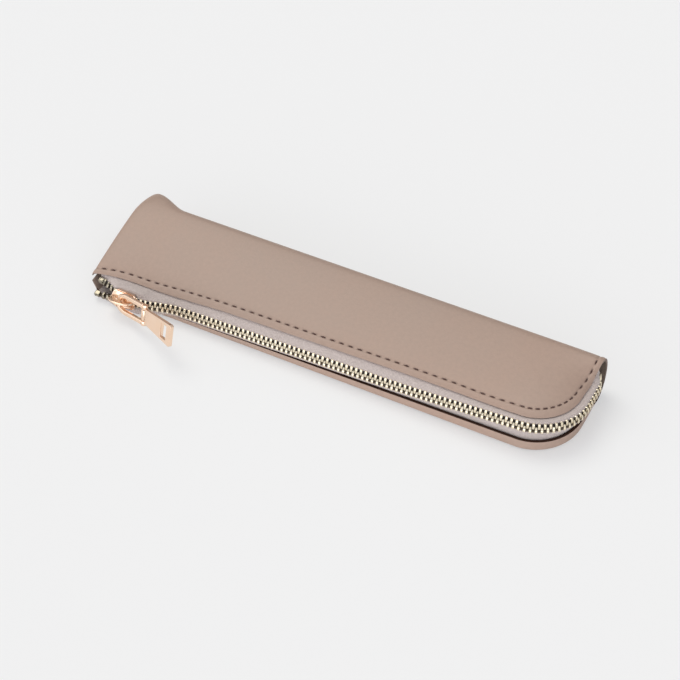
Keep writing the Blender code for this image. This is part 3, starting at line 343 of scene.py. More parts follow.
# Leather. One piece of 1.1 mm coated leather is folded along the back, so it is top panel,
# fold and bottom panel in one. The bottom panel's edge is turned up as a lip outside the zip,
# the left end is sewn flat across, and the edges are cut square and stained. Its map counts
# millimetres along the zip and across it, with marks of its own for the fold and the underside.
LEATHER = 0.0011
PARED = 0.55
PARED_WIDTH = 0.0035
CREASE_DOT_PITCH = 0.00135
EDGE_FLARE = 0.0029
EDGE_FLARE_LENGTH = 0.0260
MARGIN_RISE = 0.0013
MARGIN_FALLOFF = (0.0020, 0.0046)
MARGIN_PUFF = 0.00022
SEAM_GROOVE = 0.00020
PANEL_CROWN = 1.35
FOLD_START_Y = 0.0155
FOLD_REACH = 0.0070
BACK_THICKNESS = 0.0210
RIGHT_LIFT_Y = (0.0050, 0.0170)
RIGHT_EDGE_END_Y = 0.0100
RIGHT_LEATHER_X = RIGHT_CHAIN_X - 0.0013
FAN_LENGTH = 0.0440
LIP_INSET = (-0.0006, 0.0010)
LIP_HEIGHT = (0.0030, 0.0050)
LIP_CURL = 0.0034
LIP_BEND = 0.0012
LIP_FLAT_LENGTH = 0.0235
LIP_FULL_START = 0.0395
LIP_BAND = 0.0070
LIP_FADE_Y = (0.0050, 0.0150)
END_SEAM_HEIGHT = (0.0065, 0.0130)
END_HALF_THICKNESS = 0.00155
END_ROUNDING = (0.0094, 0.0160)
END_ROUNDING_POWER = (5.5, 2.08)
EAR_REACH = 0.00515
EAR_LENGTH = 0.0200
EAR_FROM_Y = 0.0103
EAR_FOLD_POWER = 4.0
END_WALL_SHARE = 0.8
MOUTH_CUT = 0.0024
MOUTH_CUT_REACH = (0.0130, 0.0120)
STITCH_PITCH = 0.0040
STITCH_LENGTH = 0.0019
UPPER_ROW_START = 0.0030
UPPER_ROW_END_Y = 0.0155
TAUPE = "#AA9282"
TAUPE_COOL = "#A08C7F"
TAUPE_WARM = "#A78C7C"
EDGE_STAIN = "#3A251B"
PARED_EDGE = "#97857A"
LIP_PAINTED_LIGHT = 1.18
FLESH_SIDE = "#71645A"
PALE_END_FLESH = "#A59083"
HOLE_RADIUS = 0.00036
CONTACT_SHADE = (0.00015, 0.00075)
COLUMN_STEP = 0.0011
FOLD_MARK = 0.060
UNDER_MARK = 0.050
LIP_MARKS = (-0.0550, -0.0535)
UNPARED_MARK = 0.010
PALE_END_SPAN = (-0.0985, -0.1010)
FRONT, RIM, BACK, PARED_RIM = range(4)


# The top panel's edge in millimetres: place along the zip, height above the chain, distance
# inside the chain's line, and distance from the edge to the stitches.
EDGE_ROWS = np.array([
    (0, 4.6, 3.0, 2.5), (12, 4.8, 3.0, 2.5), (25, 3.6, 3.0, 2.4), (40, 3.8, 3.0, 3.1),
    (60, 4.95, 3.0, 3.0), (140, 4.9, 3.0, 2.8), (160, 3.9, 2.8, 3.0), (175, 3.1, 2.4, 2.85),
    (188, 2.7, 2.2, 3.3), (204, 2.8, 2.4, 3.6), (212, 3.0, 2.6, 3.1), (220, 3.1, 2.5, 2.6),
    (226, 3.2, 2.1, 2.3), (232, 3.2, 1.6, 2.0)]) / 1000
edge_run = np.arange(-0.010, 0.260, 0.0005)
wider_run = np.arange(-0.016, 0.266, 0.0005)
edge_table = [np.convolve(np.interp(wider_run, EDGE_ROWS[:, 0], EDGE_ROWS[:, k]),
                          np.full(25, 1 / 25), "valid") for k in (1, 2, 3)]


def on_edge(s, kind):
    """A size of the top panel's edge at s: 0 its height above the chain, 1 inset, 2 margin."""
    return float(np.interp(s, edge_run, edge_table[kind]))


def edge_height(s):
    """Height of the top panel's cut edge, which climbs into the fold at the right end."""
    lift = ease(y_on_right(s), *RIGHT_LIFT_Y)
    return blend(chain_height(s) + on_edge(s, 0), BACK_THICKNESS, lift)


def edge_inset(s):
    flare = EDGE_FLARE * max(0.0, 1 - s / EDGE_FLARE_LENGTH) ** 2
    return on_edge(s, 1) - flare


def top_height(x, y, detail=True):
    """Height of the top panel: crowned, rolled down to its edge, puffed beside the stitches."""
    run = min(max(x - LEFT_END_X, 0.0), STRAIGHT_RUN)
    front = chain_height(run) + on_edge(run, 0) + MARGIN_RISE
    start = FRONT_CHAIN_Y + on_edge(run, 1)
    share = min(max((y - start) / (FOLD_START_Y - start), 0.0), 1.0)
    full = front + (BACK_THICKNESS - front) * (1 - (1 - share) ** PANEL_CROWN)
    s, depth = nearest_on_path(x, y)
    inside = max(depth - edge_inset(s), 0.0)
    height = full - (full - edge_height(s)) * math.exp(-inside / blend(*MARGIN_FALLOFF, turned(s)))
    if detail:
        margin = on_edge(s, 2)
        from_seam = (inside - margin) / 0.0005
        height -= SEAM_GROOVE * math.exp(-from_seam * from_seam)
        if inside < margin:
            height += MARGIN_PUFF * math.sin(math.pi * inside / margin)
    return height


def lip_height(s):
    rise = ease(s, LIP_FLAT_LENGTH, LIP_FULL_START)
    along = min(max((s - LIP_FULL_START) / (STRAIGHT_RUN - LIP_FULL_START), 0.0), 1.0)
    fade = ease(y_on_right(s), *LIP_FADE_Y)
    return blend(*LIP_HEIGHT, along) * rise * (1 - fade)


def lip_inset(s):
    at_fold = RIGHT_CHAIN_X - RIGHT_LEATHER_X - LIP_INSET[1]
    return blend(*LIP_INSET, turned(s)) + at_fold * ease(y_on_right(s), 0, FOLD_START_Y)


def lip_curve(share, height):
    """Depth and height on the turned-up edge, from its cut edge at 0 to the flat panel at 1."""
    curl = min(1.0, height / 0.0025)
    bend = LIP_BEND * curl
    wall = max(height - bend, 0.0)
    arc = LIP_CURL * 1.08
    length = (wall + arc) * curl + LIP_CURL * (1 - curl) + LIP_BAND - LIP_CURL
    run = share * length
    if run < wall * curl:
        return 0.0, height - run / max(curl, 1e-6)
    run -= wall * curl
    turn_length = arc * curl + LIP_CURL * (1 - curl)
    if run < turn_length:
        angle = math.pi / 2 * run / turn_length
        depth = blend(run / turn_length, 1 - math.cos(angle), curl) * LIP_CURL
        return depth, bend * (1 - math.sin(angle))
    return LIP_CURL + run - turn_length, 0.0


def turn_up_edge(x, y, z, half):
    """Move a point of the flat bottom panel, or of the fold's lower half, into the lip."""
    s, depth = nearest_on_path(x, y)
    depth -= lip_inset(s)
    height = lip_height(s)
    if depth >= LIP_BAND or height <= 0:
        return x, y, z
    new_depth, rise = lip_curve(max(depth, 0.0) / LIP_BAND, height)
    _, inward = path_point(s)
    share = 1 - z / half
    shift = inward * (new_depth - depth) * share
    return x + shift[0], y + shift[1], rise * share + z


def end_seam_height(y):
    """Height of the sewn left end's seam, which climbs from the zip to the ear."""
    tip = FOLD_START_Y + FOLD_REACH + EAR_REACH
    return blend(*END_SEAM_HEIGHT, (y - FRONT_CHAIN_Y) / (tip - FRONT_CHAIN_Y))


def close_left_end(point, full_height, half_thickness=END_HALF_THICKNESS, wall=0.0):
    """Draw a point near the left end towards the seam, and the fold out into the ear."""
    x, y, z = point
    from_end = x - LEFT_END_X
    if from_end >= EAR_LENGTH:
        return point
    toward_fold = ease(y, EAR_FROM_Y, FOLD_START_Y + FOLD_REACH)
    y = y + (EAR_REACH - wall * 0.5) * ease(from_end, EAR_LENGTH, 0) * toward_fold
    seam = end_seam_height(y)
    reach = min(max(1 - from_end / blend(*END_ROUNDING, toward_fold), 0.0), 1.0)
    power = blend(*END_ROUNDING_POWER, toward_fold)
    round_share = (1 - reach ** power) ** (1 / power)
    keep = half_thickness / max(abs(full_height - seam), half_thickness)
    z = seam + (z - seam) * (keep + (1 - keep) * round_share)
    x = x + wall * ease(from_end, 0, 0.0004) * (1 - from_end / EAR_LENGTH)
    if z < seam and from_end < MOUTH_CUT_REACH[0]:
        near_zip = ease(y, FRONT_CHAIN_Y + MOUTH_CUT_REACH[1], FRONT_CHAIN_Y)
        x += MOUTH_CUT * near_zip * (1 - max(z, 0.0) / seam) * (1 - from_end / MOUTH_CUT_REACH[0])
    return np.array([x, y, z])


def fan_line(s, inset, last):
    """Plan line of one column from the edge to the fold, fanned out round the corner."""
    point, inward = path_point(s)
    start = point + inward * inset
    fan_start = STRAIGHT_RUN - FAN_LENGTH
    fold_x = LEFT_END_X + s
    if s > fan_start:
        share = (s - fan_start) / (last - fan_start)
        fold_x = blend(LEFT_END_X + fan_start, RIGHT_LEATHER_X, share)
    end = np.array([fold_x, FOLD_START_Y])
    length = np.linalg.norm(end - start)
    direction = (end - start) / length
    return start, direction, length, max(0.35, float(np.dot(direction, inward)))


def spaced(depths, length, slant, rest):
    """Distances along a column: the given depths first, then an even split of the rest."""
    fixed = []
    for index, depth in enumerate(depths):
        fixed.append(min(depth / slant, 0.6 * length * (index + 1) / len(depths)))
    return fixed + [blend(fixed[-1], length, (k + 1) / rest) for k in range(rest)]


def sheet_column(s, last, rows, setback=0.0):
    """One column of the leather's outer face: points, full heights and depths from the edge."""
    points, heights, marks = [], [], []
    start, direction, length, slant = fan_line(s, edge_inset(s) + setback, last)
    for distance in [0.0] + spaced(rows["top"], length, slant, rows["top_rest"]):
        x, y = start + direction * distance
        z = top_height(x, y, setback == 0)
        points.append((x, y, z))
        heights.append(z)
        near, depth = nearest_on_path(x, y)
        marks.append((near, depth - edge_inset(near) - on_edge(near, 2)))

    x = start[0] + direction[0] * length
    sharpness = blend(2.0, EAR_FOLD_POWER, ease(x, LEFT_END_X + EAR_LENGTH, LEFT_END_X))
    half = top_height(x, FOLD_START_Y) / 2
    for k in range(1, rows["fold"]):
        angle = math.pi / 2 - math.pi * k / rows["fold"]
        sine = math.sin(angle)
        y = FOLD_START_Y + FOLD_REACH * math.cos(angle) ** (2 / sharpness)
        z = half + math.copysign(half * abs(sine) ** (2 / sharpness), sine)
        if sine < 0:
            points.append(turn_up_edge(x, y, z, half))
        else:
            points.append((x, y, z))
        heights.append(2 * half if sine >= 0 else 0.0)
        marks.append((s, FOLD_MARK + 0.001 * k))

    start, direction, length, slant = fan_line(s, lip_inset(s) + setback, last)
    under = [0.0] + spaced(rows["under"], length, slant, rows["under_rest"])
    for distance in reversed(under):
        x, y = start + direction * distance
        near, depth = nearest_on_path(x, y)
        points.append(turn_up_edge(x, y, 0.0, half))
        heights.append(0.0)
        marks.append((near, lip_inset(near) - depth - UNDER_MARK))
    return points, heights, marks


def unit_steps(grid, axis):
    """Direction of a grid of points along one axis, averaged over both neighbours."""
    steps = np.diff(grid, axis=axis)
    steps /= np.linalg.norm(steps, axis=2, keepdims=True)
    first = np.take(steps, [0], axis=axis)
    final = np.take(steps, [-1], axis=axis)
    mean = np.concatenate([first, steps], axis=axis) + np.concatenate([steps, final], axis=axis)
    return mean / np.linalg.norm(mean, axis=2, keepdims=True)


def pared(inside):
    """Share of the full thickness that the top panel is pared to, this far inside its edge."""
    return blend(PARED, 1.0, ease(inside, 0, PARED_WIDTH))


def sheet_face(columns, depth, pare=False):
    """The grid of a sheet's face at a depth below the leather's outer face, ends closed."""
    grid = np.array([points for points, _, _ in columns])
    heights = np.array([full for _, full, _ in columns])
    normals = np.cross(unit_steps(grid, 0), unit_steps(grid, 1))
    normals /= np.linalg.norm(normals, axis=2, keepdims=True)
    depths = np.full(heights.shape, depth)
    if pare:
        for i, (_, _, marks) in enumerate(columns):
            for j, (s, across) in enumerate(marks):
                if across > -UNPARED_MARK:
                    depths[i, j] *= pared(abs(across + on_edge(s, 2)))
    grid = grid - normals * depths[:, :, None]
    heights = np.where(heights > 0, heights - depths, depths)
    closed = [
        [close_left_end(point, full, END_HALF_THICKNESS - below, below * END_WALL_SHARE)
         for point, full, below in zip(*column)]
        for column in zip(grid, heights, depths)
    ]
    return np.array(closed)


def only(piece):
    """Selects one piece and makes it the active one."""
    bpy.ops.object.select_all(action="DESELECT")
    piece.select_set(True)
    bpy.context.view_layer.objects.active = piece


def thicken(piece, thickness):
    """Gives the active piece's faces a wall on their inner side."""
    wall = piece.modifiers.new("wall", "SOLIDIFY")
    wall.thickness = thickness
    wall.offset = -1
    bpy.ops.object.modifier_apply(modifier="wall")


def face_outward():
    """Turns the active piece's faces outward."""
    bpy.ops.object.mode_set(mode="EDIT")
    bpy.ops.mesh.select_all(action="SELECT")
    bpy.ops.mesh.normals_make_consistent(inside=False)
    bpy.ops.object.mode_set(mode="OBJECT")


def thick_sheet(name, outer, inner, marks):
    """A flat blank in a grid, thickened, then bent so that its faces lie on two grids."""
    across, along = outer.shape[:2]
    bpy.ops.object.select_all(action="DESELECT")
    bpy.ops.mesh.primitive_grid_add(x_subdivisions=along - 1, y_subdivisions=across - 1, size=1)
    blank = bpy.context.object
    blank.name = name
    mesh = blank.data
    layer = mesh.uv_layers[0]
    layer.name = "sewing_lines"
    corner = np.zeros(len(mesh.loops), dtype=int)
    mesh.loops.foreach_get("vertex_index", corner)
    layer.data.foreach_set("uv", np.array(marks).reshape(-1, 2)[corner].reshape(-1))
    thicken(blank, 0.001)
    kinds = np.full(len(mesh.polygons), RIM)
    faces = (across - 1) * (along - 1)
    kinds[:faces] = FRONT
    kinds[faces:2 * faces] = BACK
    mesh.polygons.foreach_set("material_index", kinds)
    mesh.vertices.foreach_set("co", np.concatenate([outer, inner]).reshape(-1))
    mesh.update()
    face_outward()
    return blank


def finish_edges(piece, width, segments=2, angle=50):
    """Rounds off a piece's sharp edges and shades it smooth."""
    only(piece)
    rounding = piece.modifiers.new("rounding", "BEVEL")
    rounding.width = width
    rounding.segments = segments
    rounding.limit_method = "ANGLE"
    rounding.angle_limit = math.radians(angle)
    bpy.ops.object.modifier_apply(modifier="rounding")
    bpy.ops.object.shade_smooth_by_angle(angle=math.radians(45))


def dress(piece, finish, node, body="case"):
    """Gives a piece its finish, the node that it stands for and its body."""
    if finish:
        piece.data.materials.append(finish)
    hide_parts(node)
    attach(piece, body)


last_column = path_at_y(RIGHT_EDGE_END_Y)
stops = [0.0, 0.00018, 0.0004, 0.0007, 0.0011, 0.0016, 0.0022, 0.0030, 0.0040, 0.0051, 0.0063]
even_run = STRAIGHT_RUN - stops[-1]
stops += [stops[-1] + COLUMN_STEP * k for k in range(1, int(even_run / COLUMN_STEP))]
stops += [STRAIGHT_RUN + ARC_RUN * k / 44 for k in range(45)]
stops += [blend(STRAIGHT_RUN + ARC_RUN, last_column, (k + 1) / 26) for k in range(26)]
leather_rows = {
    "top": [0.00015, 0.0004, 0.0007, 0.0011, 0.0015, 0.0019, 0.0022, 0.00245, 0.0027,
            0.00295, 0.0032, 0.0035, 0.0040, 0.0047, 0.0057, 0.0070, 0.0086],
    "top_rest": 20, "fold": 26, "under": [0.0004 * k for k in range(1, 19)], "under_rest": 12}
leather_columns = [sheet_column(s, last_column, leather_rows) for s in stops]
leather = thick_sheet("leather_panel", sheet_face(leather_columns, 0.0),
                      sheet_face(leather_columns, LEATHER, pare=True),
                      [m for _, _, m in leather_columns])


def noise(tree, scale, detail, roughness=0.5):
    """Unevenness all over the surface, from the piece's own coordinates."""
    place = add_node(tree, "ShaderNodeTexCoord").outputs["Object"]
    return add_node(tree, "ShaderNodeTexNoise", {
        "Scale": scale, "Detail": detail, "Roughness": roughness}, {"Vector": place}).outputs[0]


def mix_colours(tree, share, first, second, blend_type="MIX"):
    """A mix of two colours, each a hex code or a socket."""
    values, links = {}, {}
    for key, item in ((0, share), (6, first), (7, second)):
        if isinstance(item, str):
            values[key] = linear_colour(item)
        elif isinstance(item, float):
            values[key] = item
        else:
            links[key] = item
    return add_node(tree, "ShaderNodeMix", values, links, data_type="RGBA",
                    blend_type=blend_type).outputs[2]


def emboss(tree, shader, height, strength, distance):
    """Lets a height show in the surface."""
    bump = add_node(tree, "ShaderNodeBump", {"Strength": strength, "Distance": distance},
                    {"Height": height})
    tree.links.new(bump.outputs[0], shader.inputs["Normal"])


def sewing_lines(tree):
    """Distance along the zip and distance across it, from the sheet's own map."""
    own_map = add_node(tree, "ShaderNodeUVMap", uv_map="sewing_lines").outputs[0]
    return split(tree, own_map)[:2]


# Coated split leather, smooth with a very fine embossed grain of about 0.7 mm, satin. The eye
# gets an even taupe that drifts slightly cooler and warmer, small puckers at the stitches with
# painted shade in their pits, a lip painted lighter for the light it catches, and a painted contact
# shadow where the case meets the table.
grain_leather, tree, shader = new_material("taupe coated leather, fine embossed grain", TAUPE, 0.52)
place = add_node(tree, "ShaderNodeTexCoord").outputs["Object"]
tone = mix_colours(tree, noise(tree, 22.0, 2.0), TAUPE_COOL, TAUPE_WARM)
mottle = noise(tree, 620.0, 3.0, 0.6)
along, across = sewing_lines(tree)
from_line = math_node(tree, "MULTIPLY", across, across)
pucker_pits_and_shade = 0.0
for hole in (0.0, STITCH_LENGTH):
    shifted = math_node(tree, "ADD", along, STITCH_PITCH * 20.5 - UPPER_ROW_START - hole)
    wrapped = math_node(tree, "MODULO", shifted, STITCH_PITCH)
    off = math_node(tree, "SUBTRACT", wrapped, STITCH_PITCH / 2)
    square = math_node(tree, "ADD", math_node(tree, "MULTIPLY", off, off), from_line)
    pit = math_node(tree, "EXPONENT", math_node(tree, "MULTIPLY", square, -1 / HOLE_RADIUS ** 2))
    pucker_pits_and_shade = math_node(tree, "ADD", pucker_pits_and_shade, pit)
speckle = map_range(tree, mottle, 0.3, 0.7, 0.955, 1.045)
# The colour darkens at the stitch holes: painted shade in the pits, alongside their real bump.
level = math_node(tree, "MULTIPLY", speckle, math_node(tree, "MULTIPLY_ADD", pucker_pits_and_shade, -0.40, 1.0))
# Painted contact shadow: the leather darkens within 0.75 mm of the table.
painted_contact_shadow = map_range(tree, split(tree, place)["Z"], *CONTACT_SHADE, 0.45, 1.0, "SMOOTHSTEP")
level = math_node(tree, "MULTIPLY", level, painted_contact_shadow)
# Painted light: the lip's colour is raised to stand for the light it catches from the front.
painted_lip_light = math_node(tree, "SUBTRACT", map_range(tree, across, *LIP_MARKS, 1.0, LIP_PAINTED_LIGHT), 1.0)
under = math_node(tree, "LESS_THAN", across, 0.005 - UNDER_MARK)
level = math_node(tree, "MULTIPLY", level, math_node(tree, "MULTIPLY_ADD", painted_lip_light, under, 1.0))
tree.links.new(mix_colours(tree, 1.0, tone, level, "MULTIPLY"), shader.inputs["Base Color"])
cells = add_node(tree, "ShaderNodeTexVoronoi", {"Scale": 1400.0, "Randomness": 0.9},
                 {"Vector": place}, feature="SMOOTH_F1")
relief = math_node(tree, "MULTIPLY_ADD", noise(tree, 3800.0, 2.0), 0.35, cells.outputs["Distance"])
emboss(tree, shader, math_node(tree, "MULTIPLY_ADD", pucker_pits_and_shade, -6.0, relief), 0.55, 0.00004)
tree.links.new(map_range(tree, mottle, 0.3, 0.7, 0.46, 0.58), shader.inputs["Roughness"])

# The square-cut edge shows packed fibre under a brown stain: dull, with short streaks along it.
cut_edge, tree, shader = new_material("stained cut leather edge", EDGE_STAIN, 0.85)
shader.inputs["Specular IOR Level"].default_value = 0.2
fibre = noise(tree, 1500.0, 4.0)
tree.links.new(mix_colours(tree, fibre, "#2B1810", "#4A3024"), shader.inputs["Base Color"])
emboss(tree, shader, fibre, 0.5, 0.00005)

# The back of the leather is the split's brushed flesh side: matt, fibrous, browner and darker.
# Nearest the left end it is lighter, close to the front's taupe.
flesh_side, tree, shader = new_material("brushed flesh side of the leather", FLESH_SIDE, 0.9)
nap = noise(tree, 1100.0, 5.0, 0.7)
place = split(tree, add_node(tree, "ShaderNodeTexCoord").outputs["Object"])
pale_end_share = map_range(tree, place["X"], *PALE_END_SPAN)
fuzz = mix_colours(tree, pale_end_share, mix_colours(tree, nap, "#5F5449", "#847568"), PALE_END_FLESH)
tree.links.new(fuzz, shader.inputs["Base Color"])
emboss(tree, shader, nap, 0.6, 0.0001)

# The top panel's edge is pared thin and left unstained, so it shows pale fibre, with a row of
# darker dots along it: painted shade in the crease against the tape.
pared_edge, tree, shader = new_material("pared leather edge", PARED_EDGE, 0.8)
along, _ = sewing_lines(tree)
crease_shade_dots = math_node(tree, "SINE", math_node(tree, "MULTIPLY", along, 2 * math.pi / CREASE_DOT_PITCH))
tone = mix_colours(tree, map_range(tree, crease_shade_dots, -1.0, 0.6), "#6F5F58", PARED_EDGE)
tree.links.new(tone, shader.inputs["Base Color"])

for finish in (grain_leather, cut_edge, flesh_side, pared_edge):
    leather.data.materials.append(finish)
for face in leather.data.polygons:
    chain_above = chain_height(max(0.0, face.center.x - LEFT_END_X))
    if face.material_index == RIM and face.center.z >= 0.5 * (0.001 + chain_above):
        face.material_index = PARED_RIM
finish_edges(leather, 0.00025)
dress(leather, None, "leather_shell")

# Lining. A thin dark olive-grey woven cloth lies inside the leather and over the hems of the zip
# tapes. It shows only in the open mouth and inside the fold at the right end.
LINING_DEPTH = LEATHER + 0.0003
LINING_THICKNESS = 0.0004
LINING_SETBACK = 0.0096
LINING_START = 0.0085
LINING_THREAD = 0.0005
LINING_GREY = "#4A4439"

lining_rows = {"top": [0.0010], "top_rest": 16, "fold": 16, "under": [0.0010], "under_rest": 12}
lining_stops = [blend(LINING_START, STRAIGHT_RUN, k / 40) for k in range(41)]
lining_stops += [STRAIGHT_RUN + ARC_RUN * (k + 1) / 16 for k in range(15)]
lining_columns = [sheet_column(s, last_column, lining_rows, LINING_SETBACK) for s in lining_stops]
lining = thick_sheet("lining_cloth", sheet_face(lining_columns, LINING_DEPTH),
                     sheet_face(lining_columns, LINING_DEPTH + LINING_THICKNESS),
                     [m for _, _, m in lining_columns])


def woven(name, dark, light, thread, roughness, relief, shaded_edge=None):
    """Plain-woven cloth: threads over and under each other along the piece's sewing lines."""
    made, tree, shader = new_material(name, light, roughness)
    along, across = sewing_lines(tree)
    waves = [math_node(tree, "SINE", math_node(tree, "MULTIPLY", axis, 2 * math.pi / (2 * thread)))
             for axis in (along, across)]
    crossing = math_node(tree, "MULTIPLY", *waves)
    height = math_node(tree, "MULTIPLY_ADD", noise(tree, 1500.0, 3.0, 0.7), 3.2, crossing)
    colour = mix_colours(tree, map_range(tree, height, 0.2, 3.0), dark, light)
    # Painted shade: the tape darkens towards its toothed edge, where it lies in shade between and
    # under the teeth.
    if shaded_edge:
        clear = map_range(tree, across, *TAPE_EDGE_SHADE, kind="SMOOTHSTEP")
        colour = mix_colours(tree, clear, shaded_edge, colour)
    tree.links.new(colour, shader.inputs["Base Color"])
    emboss(tree, shader, height, 0.6, relief)
    return made, shader


lining_weave, _ = woven("plain woven lining", "#373127", LINING_GREY, LINING_THREAD, 0.9, 0.00006)
lining.data.polygons.foreach_set("material_index", [FRONT] * len(lining.data.polygons))
bpy.ops.object.shade_smooth_by_angle(angle=math.radians(45))
dress(lining, lining_weave, "lining")


# Zip tapes. Two woven polyester tapes, dyed a mauve-grey, each with a thick corded edge that
# the teeth are clamped on. Their hems are sewn in under the top panel and behind the lip.
TAPE_THICKNESS = 0.0006
TAPE_TO_TOOTH = 0.0009
TAPE_PAST_TOOTH = 0.0019
TAPE_CORD_UNTIL = 0.0022
TAPE_CORD_THICKNESS = 0.0011
TAPE_STRAIGHT = 0.0024
TAPE_STRAIGHT_AT_SLIDER = 0.0041
TAPE_SETTLES = (0.0012, 0.0062)
TAPE_CLEAR = 0.0001
TAPE_SLACK = 0.00045
TAPE_HIDDEN_WIDTH = 0.0060
TAPE_MOUTH_TURN = 0.0009
TAPE_OVER_LIP = 0.0007
TAPE_BEHIND_LIP = 0.0040
TAPE_LEAVES_LIP = (0.0002, 0.0012)
TAPE_BEHIND_DROP = (0.0012, 0.0020)
TAPE_ON_FLOOR = (BULGE_FULL + 0.0035, BULGE_FULL - 0.0015)
TAPE_FLOOR_TURN = 0.0015
TAPE_HANG = 0.0019
TAPE_HANGS = (0.0130, 0.0190, 0.0280, 0.0400)
TAPE_THREAD = 0.00032
TAPE_EDGE_SHADE = (0.00075, 0.00115)
MAUVE = "#D2C5BF"
MAUVE_SHADE = "#988B86"
GAP = 0.0003
TAPE_STATIONS = ((BULGE_START, 60), (STRAIGHT_RUN, 120), (STRAIGHT_RUN + ARC_RUN, 36),
                 (path_at_y(ZIP_END_Y), 20))


def tape_straight(s):
    """How far from the middle the tape stays in the chain's plane; further in the slider."""
    from_slider = abs(s - SLIDER_START) - SLIDER_LENGTH / 2
    near_slider = TAPE_STRAIGHT_AT_SLIDER - half_gap(s)
    straight = blend(near_slider, TAPE_STRAIGHT, ease(from_slider, *TAPE_SETTLES))
    return max(straight, TAPE_STRAIGHT)


def section_of(s, world):
    """Inward distance and height of a world point in the section at s."""
    point, inward = path_point(s)
    return np.array([float(np.dot(world[:2] - point, inward)), world[2]])


def panel_point(s, depth):
    """Point on the top panel's outer face at an inward depth from its cut edge."""
    point, inward = path_point(s)
    x, y = point + inward * (edge_inset(s) + depth)
    full = top_height(x, y)
    return close_left_end(np.array([x, y, full]), full)


def upper_tape_line(s):
    """Middle line of the upper tape in the section at s: teeth first, hidden hem last."""
    line = [section_of(s, row_point(s, -1, TAPE_TO_TOOTH)),
            section_of(s, row_point(s, -1, TAPE_PAST_TOOTH)),
            section_of(s, row_point(s, -1, tape_straight(s)))]
    for depth in (TAPE_MOUTH_TURN * mouth_share(s), TAPE_HIDDEN_WIDTH / 2, TAPE_HIDDEN_WIDTH):
        here = section_of(s, panel_point(s, depth))
        there = section_of(s, panel_point(s, depth + 0.0004))
        slope = math.atan2(there[1] - here[1], there[0] - here[0])
        drop = LEATHER * pared(depth) + TAPE_THICKNESS / 2 + TAPE_CLEAR
        line.append(here + np.array([drop * math.sin(slope) + tuck(s), -drop * math.cos(slope)]))
    return line


def lower_tape_line(s):
    """Middle line of the lower tape in the section at s: teeth first, hidden hem last.

    Along the middle it passes from the teeth straight behind the lip. Where the chain bulges
    out it crosses over the edge, and beside the slider it turns along the table first.
    """
    half = TAPE_THICKNESS / 2
    touch = GAP + half + TAPE_CLEAR
    height = lip_height(s)
    point, inward = path_point(s)
    x, y = point + inward * lip_inset(s)
    panel = close_left_end(np.array([x, y, 0.0]), 0.0)[2] + LEATHER
    low = panel + touch
    rim = height + panel - LEATHER * min(1.0, height / 0.0025)
    inset = lip_inset(s) + tuck(s)
    bend = section_of(s, row_point(s, 1, tape_straight(s)))
    behind = np.array([inset + LEATHER + GAP + half, max(low, rim + TAPE_SLACK)])
    out_share = ease(bulge(s), *TAPE_LEAVES_LIP)
    hang = TAPE_HANG * ease(s, *TAPE_HANGS[:2]) * ease(s, *TAPE_HANGS[:1:-1])
    over = np.array([inset - TAPE_OVER_LIP - hang, rim + touch])
    floor_share = ease(s, *TAPE_ON_FLOOR)
    floor = half + TAPE_CLEAR
    first = blend(blend(bend, behind, 1 / 3), (bend + over) / 2, out_share)
    second = blend(blend(bend, behind, 2 / 3), over, out_share)
    first = blend(first, np.array([bend[0] + TAPE_OVER_LIP, floor]), floor_share)
    second = blend(second, np.array([inset - TAPE_FLOOR_TURN - hang, floor]), floor_share)
    third = blend(behind, np.array([inset + TAPE_CLEAR, rim + touch]), floor_share)
    below = min(TAPE_BEHIND_DROP[1], max(0.0, height - TAPE_BEHIND_DROP[0]))
    drop = np.array([TAPE_OVER_LIP, -below]) * (1 - floor_share)
    fourth = np.array([inset + TAPE_BEHIND_LIP, low])
    return [section_of(s, row_point(s, 1, TAPE_TO_TOOTH)),
            section_of(s, row_point(s, 1, TAPE_PAST_TOOTH)), bend, first, second, third,
            third + drop, fourth, np.array([inset + TAPE_HIDDEN_WIDTH, low])]


def rounded_line(points, count):
    """Evenly spaced points on a smooth curve through a list of points."""
    points = np.array(points)
    ends = np.vstack([2 * points[0] - points[1], points, 2 * points[-1] - points[-2]])
    fine = []
    for k in range(1, len(ends) - 2):
        a, b, c, d = ends[k - 1:k + 3]
        for step in range(8):
            t = step / 8
            fine.append(0.5 * (2 * b + (c - a) * t + (2 * a - 5 * b + 4 * c - d) * t * t
                               + (3 * b - 3 * c + d - a) * t ** 3))
    fine = np.array(fine + [points[-1]])
    run = np.concatenate([[0.0], np.cumsum(np.linalg.norm(np.diff(fine, axis=0), axis=1))])
    wanted = np.linspace(0, run[-1], count)
    return np.stack([np.interp(wanted, run, fine[:, k]) for k in range(2)], axis=1), wanted


def tape_places():
    """Distances along the zip of a tape's sections, closest together round the corner."""
    places = [ZIP_START]
    for end, count in TAPE_STATIONS:
        start = places[-1]
        places += [blend(start, end, (k + 1) / count) for k in range(count)]
    return places


def make_tape(name, line_at, facing):
    outer, inner, marks = [], [], []
    for s in tape_places():
        line, run = rounded_line(line_at(s), 26)
        step = np.gradient(line, axis=0)
        step /= np.linalg.norm(step, axis=1, keepdims=True)
        sideways = np.stack([-step[:, 1], step[:, 0]], axis=1) * facing
        cord = np.clip((TAPE_CORD_UNTIL - TAPE_TO_TOOTH - run) / 0.0005, 0, 1)
        half = blend(TAPE_THICKNESS, TAPE_CORD_THICKNESS, cord[:, None] ** 0.5) / 2
        point, inward = path_point(s)
        for grid, flat in ((outer, line + sideways * half), (inner, line - sideways * half)):
            plan = point + inward * flat[:, :1]
            grid.append(np.column_stack([plan, flat[:, 1]]))
        marks.append([(s, r) for r in run])
    tape = thick_sheet(name, np.array(outer), np.array(inner), marks)
    tape.data.polygons.foreach_set("material_index", [FRONT] * len(tape.data.polygons))
    return tape


